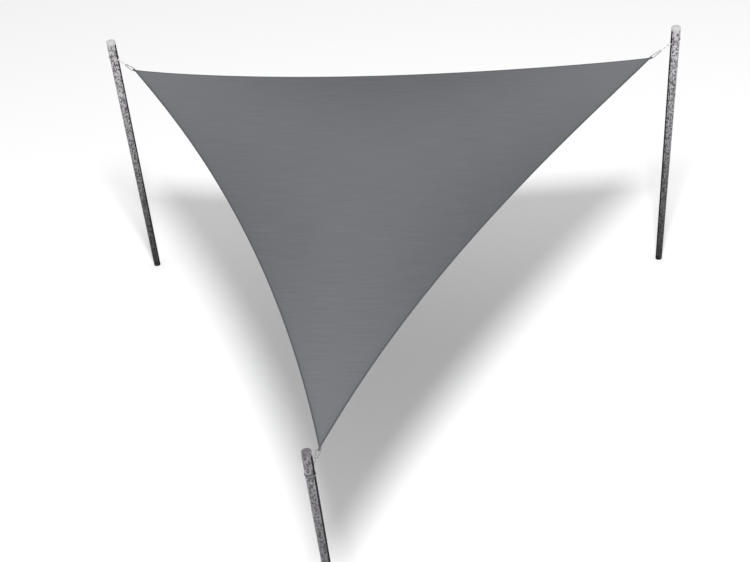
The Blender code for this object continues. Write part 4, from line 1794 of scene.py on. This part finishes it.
# ---------------------------------------------------------------- posts
@dataclass(frozen=True)
class Post:
    """A leaning galvanised tube that narrows downwards, with a cap and a dark strip down one side, a painted
    shadow of its shaded side.
    """

    plan: SailPlan
    wall: float = 0.0032
    sides: int = 96
    tube_lengths: int = 12
    rim: float = 0.0006
    cap_side: float = 0.029
    cap_rise: float = 0.0398
    cap_lip: float = 0.0045
    cap_groove: float = 0.0010
    cap_fullness: float = 0.4
    cap_rings: int = 20
    strip_width: float = 0.024
    strip_foot: float = 0.006
    strip_sides: int = 12

    def lathe(
        self, name: str, profile: Sequence[Spot], axis: Callable[[float], Vector], closed: bool
    ) -> Mesh:
        """Turns a profile about a leaning axis, every section level.

        Args:
            name: The mesh's name.
            profile: Each ring's radius and height; a radius of 0 is a single point.
            axis: Gives the axis at a height.
            closed: Whether the profile comes back to its start.

        Returns:
            The mesh.
        """
        work = bmesh.new()
        rings = []
        for radius, height in profile:
            middle = axis(height)
            if radius == 0:
                rings.append([work.verts.new(middle)] * self.sides)
                continue
            turns = [FULL_TURN * side / self.sides for side in range(self.sides)]
            places = [middle + radius * Vector((math.cos(turn), math.sin(turn), 0)) for turn in turns]
            rings.append([work.verts.new(place) for place in places])
        pairs = list(zip(rings, rings[1:] + rings[:1] if closed else rings[1:]))
        for low, high in pairs:
            for side in range(self.sides):
                after = (side + 1) % self.sides
                corners = [low[side], low[after], high[after], high[side]]
                work.faces.new(list(dict.fromkeys(corners)))
        mesh = mesh_from(work, name)
        mesh.transform(self.plan.base())
        return mesh

    def build_tube(self, corner: Corner, material: Material) -> Piece:
        """Makes the post's narrowing tube, open at its foot and closed by the cap above.

        Args:
            corner: The corner that it holds.
            material: Its finish.

        Returns:
            The tube's piece.
        """
        top, rim, wall = self.plan.post_height, self.rim, self.wall
        between = [top * step / self.tube_lengths for step in range(1, self.tube_lengths)]
        levels = [rim, *between, top - rim]
        outside = [(self.plan.post_radius(corner, level), level) for level in levels]
        inside = [(self.plan.post_radius(corner, level) - wall, level) for level in (top - rim, rim)]
        low, high = self.plan.post_radius(corner, 0.0), self.plan.top_radius(corner)
        profile = [(low - rim, 0.0), *outside, (high - rim, top)]
        profile += [(high - wall + rim, top), *inside, (low - wall + rim, 0.0)]
        name = f"post_{corner.name}"
        mesh = self.lathe(name, profile, lambda height: self.plan.post_axis(corner, height), closed=True)
        return show(name + "_tube", mesh, material, [name])

    def build_cap(self, corner: Corner, material: Material) -> Piece:
        """Makes the cap: a short lip, a straight side, a rounded edge and a nearly flat top.

        Args:
            corner: The post's corner.
            material: Its finish.

        Returns:
            The cap's piece.
        """
        radius, groove, lip = self.plan.top_radius(corner), self.cap_groove, self.cap_lip
        side = radius - groove / 3
        seat = self.plan.post_axis(corner, self.plan.post_height + self.plan.gap)
        profile = [
            (0.0, 0.0),
            (radius - groove, 0.0),
            (radius, groove),
            (radius, lip - groove / 2),
            (radius - groove / 2, lip),
            (radius - groove * 1.5, lip + groove / 2),
            (side, lip + groove * 1.5),
            (side, self.cap_side),
        ]
        for ring in range(1, self.cap_rings):
            turn = math.pi / 2 * ring / self.cap_rings
            height = self.cap_side + (self.cap_rise - self.cap_side) * math.sin(turn)
            profile.append((side * math.cos(turn) ** self.cap_fullness, height))
        profile.append((0.0, self.cap_rise))
        name = f"post_cap_{corner.name}"
        up = Vector((0.0, 0.0, 1.0))
        mesh = self.lathe(name, profile, lambda height: seat + up * height, closed=False)
        return show(name + "_moulded", mesh, material, [name])

    def strip_section(self, corner: Corner, height: float) -> list[Vector]:
        """Draws the strip's outline at a height, with its two outer edges softened.

        Args:
            corner: The post's corner.
            height: The height.

        Returns:
            The outline's points.
        """
        off_post, thickness = self.plan.gap + self.plan.facet_allowance, self.plan.strip_thickness
        inner = self.plan.post_radius(corner, height) + off_post
        outer, soft = inner + thickness, thickness / 3
        facing = math.radians(corner.strip_bearing)
        half = self.strip_width / (2 * (self.plan.top_radius(corner) + off_post) + thickness)
        trimmed = half - soft / outer
        shares = [2 * side / self.strip_sides - 1 for side in range(self.strip_sides + 1)]
        places = [(inner, facing + half * share) for share in shares] + [(outer - soft, facing + half)]
        places += [(outer, facing - trimmed * share) for share in shares] + [(outer - soft, facing - half)]
        middle = self.plan.post_axis(corner, height)
        return [middle + radius * Vector((math.cos(turn), math.sin(turn), 0.0)) for radius, turn in places]

    def build_strip(self, corner: Corner, material: Material) -> Piece:
        """Makes the dark strip, a painted shadow of the tube's shaded side: a thin band with soft long
        edges.

        Args:
            corner: The post's corner.
            material: Its finish.

        Returns:
            The strip's piece.
        """
        work = bmesh.new()
        sections = [self.strip_section(corner, level) for level in (self.strip_foot, self.plan.post_height)]
        low, high = ([work.verts.new(point) for point in section] for section in sections)
        for index in range(len(low)):
            after = (index + 1) % len(low)
            work.faces.new((low[index], low[after], high[after], high[index]))
        work.faces.new(low)
        work.faces.new(high)
        name = f"dark_strip_{corner.name}"
        mesh = mesh_from(work, name)
        mesh.transform(self.plan.base())
        return show(name + "_band", mesh, material, [name])


# ---------------------------------------------------------------- studio
@dataclass(frozen=True)
class Studio:
    """The camera, a pale floor and one broad lamp high in front."""

    camera_place: tuple[float, float, float] = (2.0174, -14.0989, 11.0128)
    yaw: float = -0.1350
    pitch: float = 0.5745
    roll: float = -0.08515
    lens: float = 96.0
    sensor: float = 36.0
    clip: Range = (0.05, 200.0)
    floor_half: float = 60.0
    sky: float = 0.60
    floor_white: float = 0.97
    lamp_place: tuple[float, float, float] = (2.5, -12.9, 23.7)
    lamp_width: float = 5.0
    lamp_power: float = 5400.0

    def set_camera(self) -> None:
        """Makes the camera and points it."""
        ahead = Vector((math.sin(self.yaw), math.cos(self.yaw), 0.0)) * math.cos(self.pitch)
        ahead.z = -math.sin(self.pitch)
        right = Vector((math.cos(self.yaw), -math.sin(self.yaw), 0.0))
        up = right.cross(ahead)
        turned_right = right * math.cos(self.roll) + up * math.sin(self.roll)
        turned_up = up * math.cos(self.roll) - right * math.sin(self.roll)
        place = Matrix((turned_right, turned_up, -ahead)).transposed().to_4x4()
        place.translation = self.camera_place
        lens = bpy.data.cameras.new("camera")
        lens.lens, lens.sensor_width = self.lens, self.sensor
        lens.clip_start, lens.clip_end = self.clip
        camera = bpy.data.objects.new("camera", lens)
        camera.matrix_world = place
        bpy.context.scene.collection.objects.link(camera)
        bpy.context.scene.camera = camera

    def set_stage(self) -> None:
        """Lays the floor and hangs the light."""
        work = bmesh.new()
        bmesh.ops.create_grid(work, x_segments=1, y_segments=1, size=self.floor_half)
        floor = bpy.data.objects.new("floor", mesh_from(work, "floor"))
        bench = ShaderBench("pale_floor")
        bench.set(Roughness=1.0, Specular_IOR_Level=0.0)
        bench.shader.inputs["Base Color"].default_value = (*[self.floor_white] * 3, 1.0)
        floor.data.materials.append(bench.material)
        bpy.context.scene.collection.objects.link(floor)
        lamp = bpy.data.lights.new("soft_light", "AREA")
        lamp.shape, lamp.size, lamp.energy = "DISK", self.lamp_width, self.lamp_power
        hung = bpy.data.objects.new("soft_light", lamp)
        hung.location = self.lamp_place
        hung.rotation_euler = Vector(self.lamp_place).to_track_quat("Z", "Y").to_euler()
        bpy.context.scene.collection.objects.link(hung)
        world = bpy.data.worlds.new("pale_world")
        world.use_nodes = True
        world.node_tree.nodes["Background"].inputs["Color"].default_value = (1.0, 1.0, 1.0, 1.0)
        world.node_tree.nodes["Background"].inputs["Strength"].default_value = self.sky
        bpy.context.scene.world = world
        bpy.context.scene.view_settings.view_transform = "Standard"


def main() -> None:
    """Builds the camera, the ropes and then every other piece, and lights them."""
    logging.basicConfig(level=logging.INFO, format="%(name)s %(message)s")
    studio, plan = Studio(), SailPlan()
    studio.set_camera()
    back, front = BACK_CORNER.make(), FRONT_CORNER.make()
    looks = {corner: front if corner.dark else back for corner in plan.corners}
    strands, wraps, stitches = StrandTree(), WrapTree(), StitchTree()
    ring = PearRing(plan)
    rope = TieRope(plan, ring)
    for corner, look in looks.items():
        rope.build(corner, strands, look[Slot.ROPE])
    seizing = Seizing(rope)
    for corner, look in looks.items():
        for bind in Bind:
            seizing.build(corner, bind, wraps, look[Slot.SEIZING])
    cloth, thread = SailCloth(plan), HEM_THREAD.make()
    sail = cloth.build(ClothFinish().make())
    on_sail = [cloth.sew(side, stitches, thread) for side in Side]
    tab, webbing, steel = CornerTab(plan), WebbingFinish().make(), WireFinish().make()
    for corner in plan.corners:
        ring.build(corner, steel)
        on_sail += [tab.build(corner, webbing), tab.sew(corner, stitches, thread)]
    post, shadow_strip_material = Post(plan), SHADOW_STRIP_FINISH.make()
    for corner, look in looks.items():
        post.build_tube(corner, look[Slot.POST])
        post.build_cap(corner, look[Slot.CAP])
        post.build_strip(corner, shadow_strip_material)
    studio.set_stage()


if __name__ == "__main__":
    main()
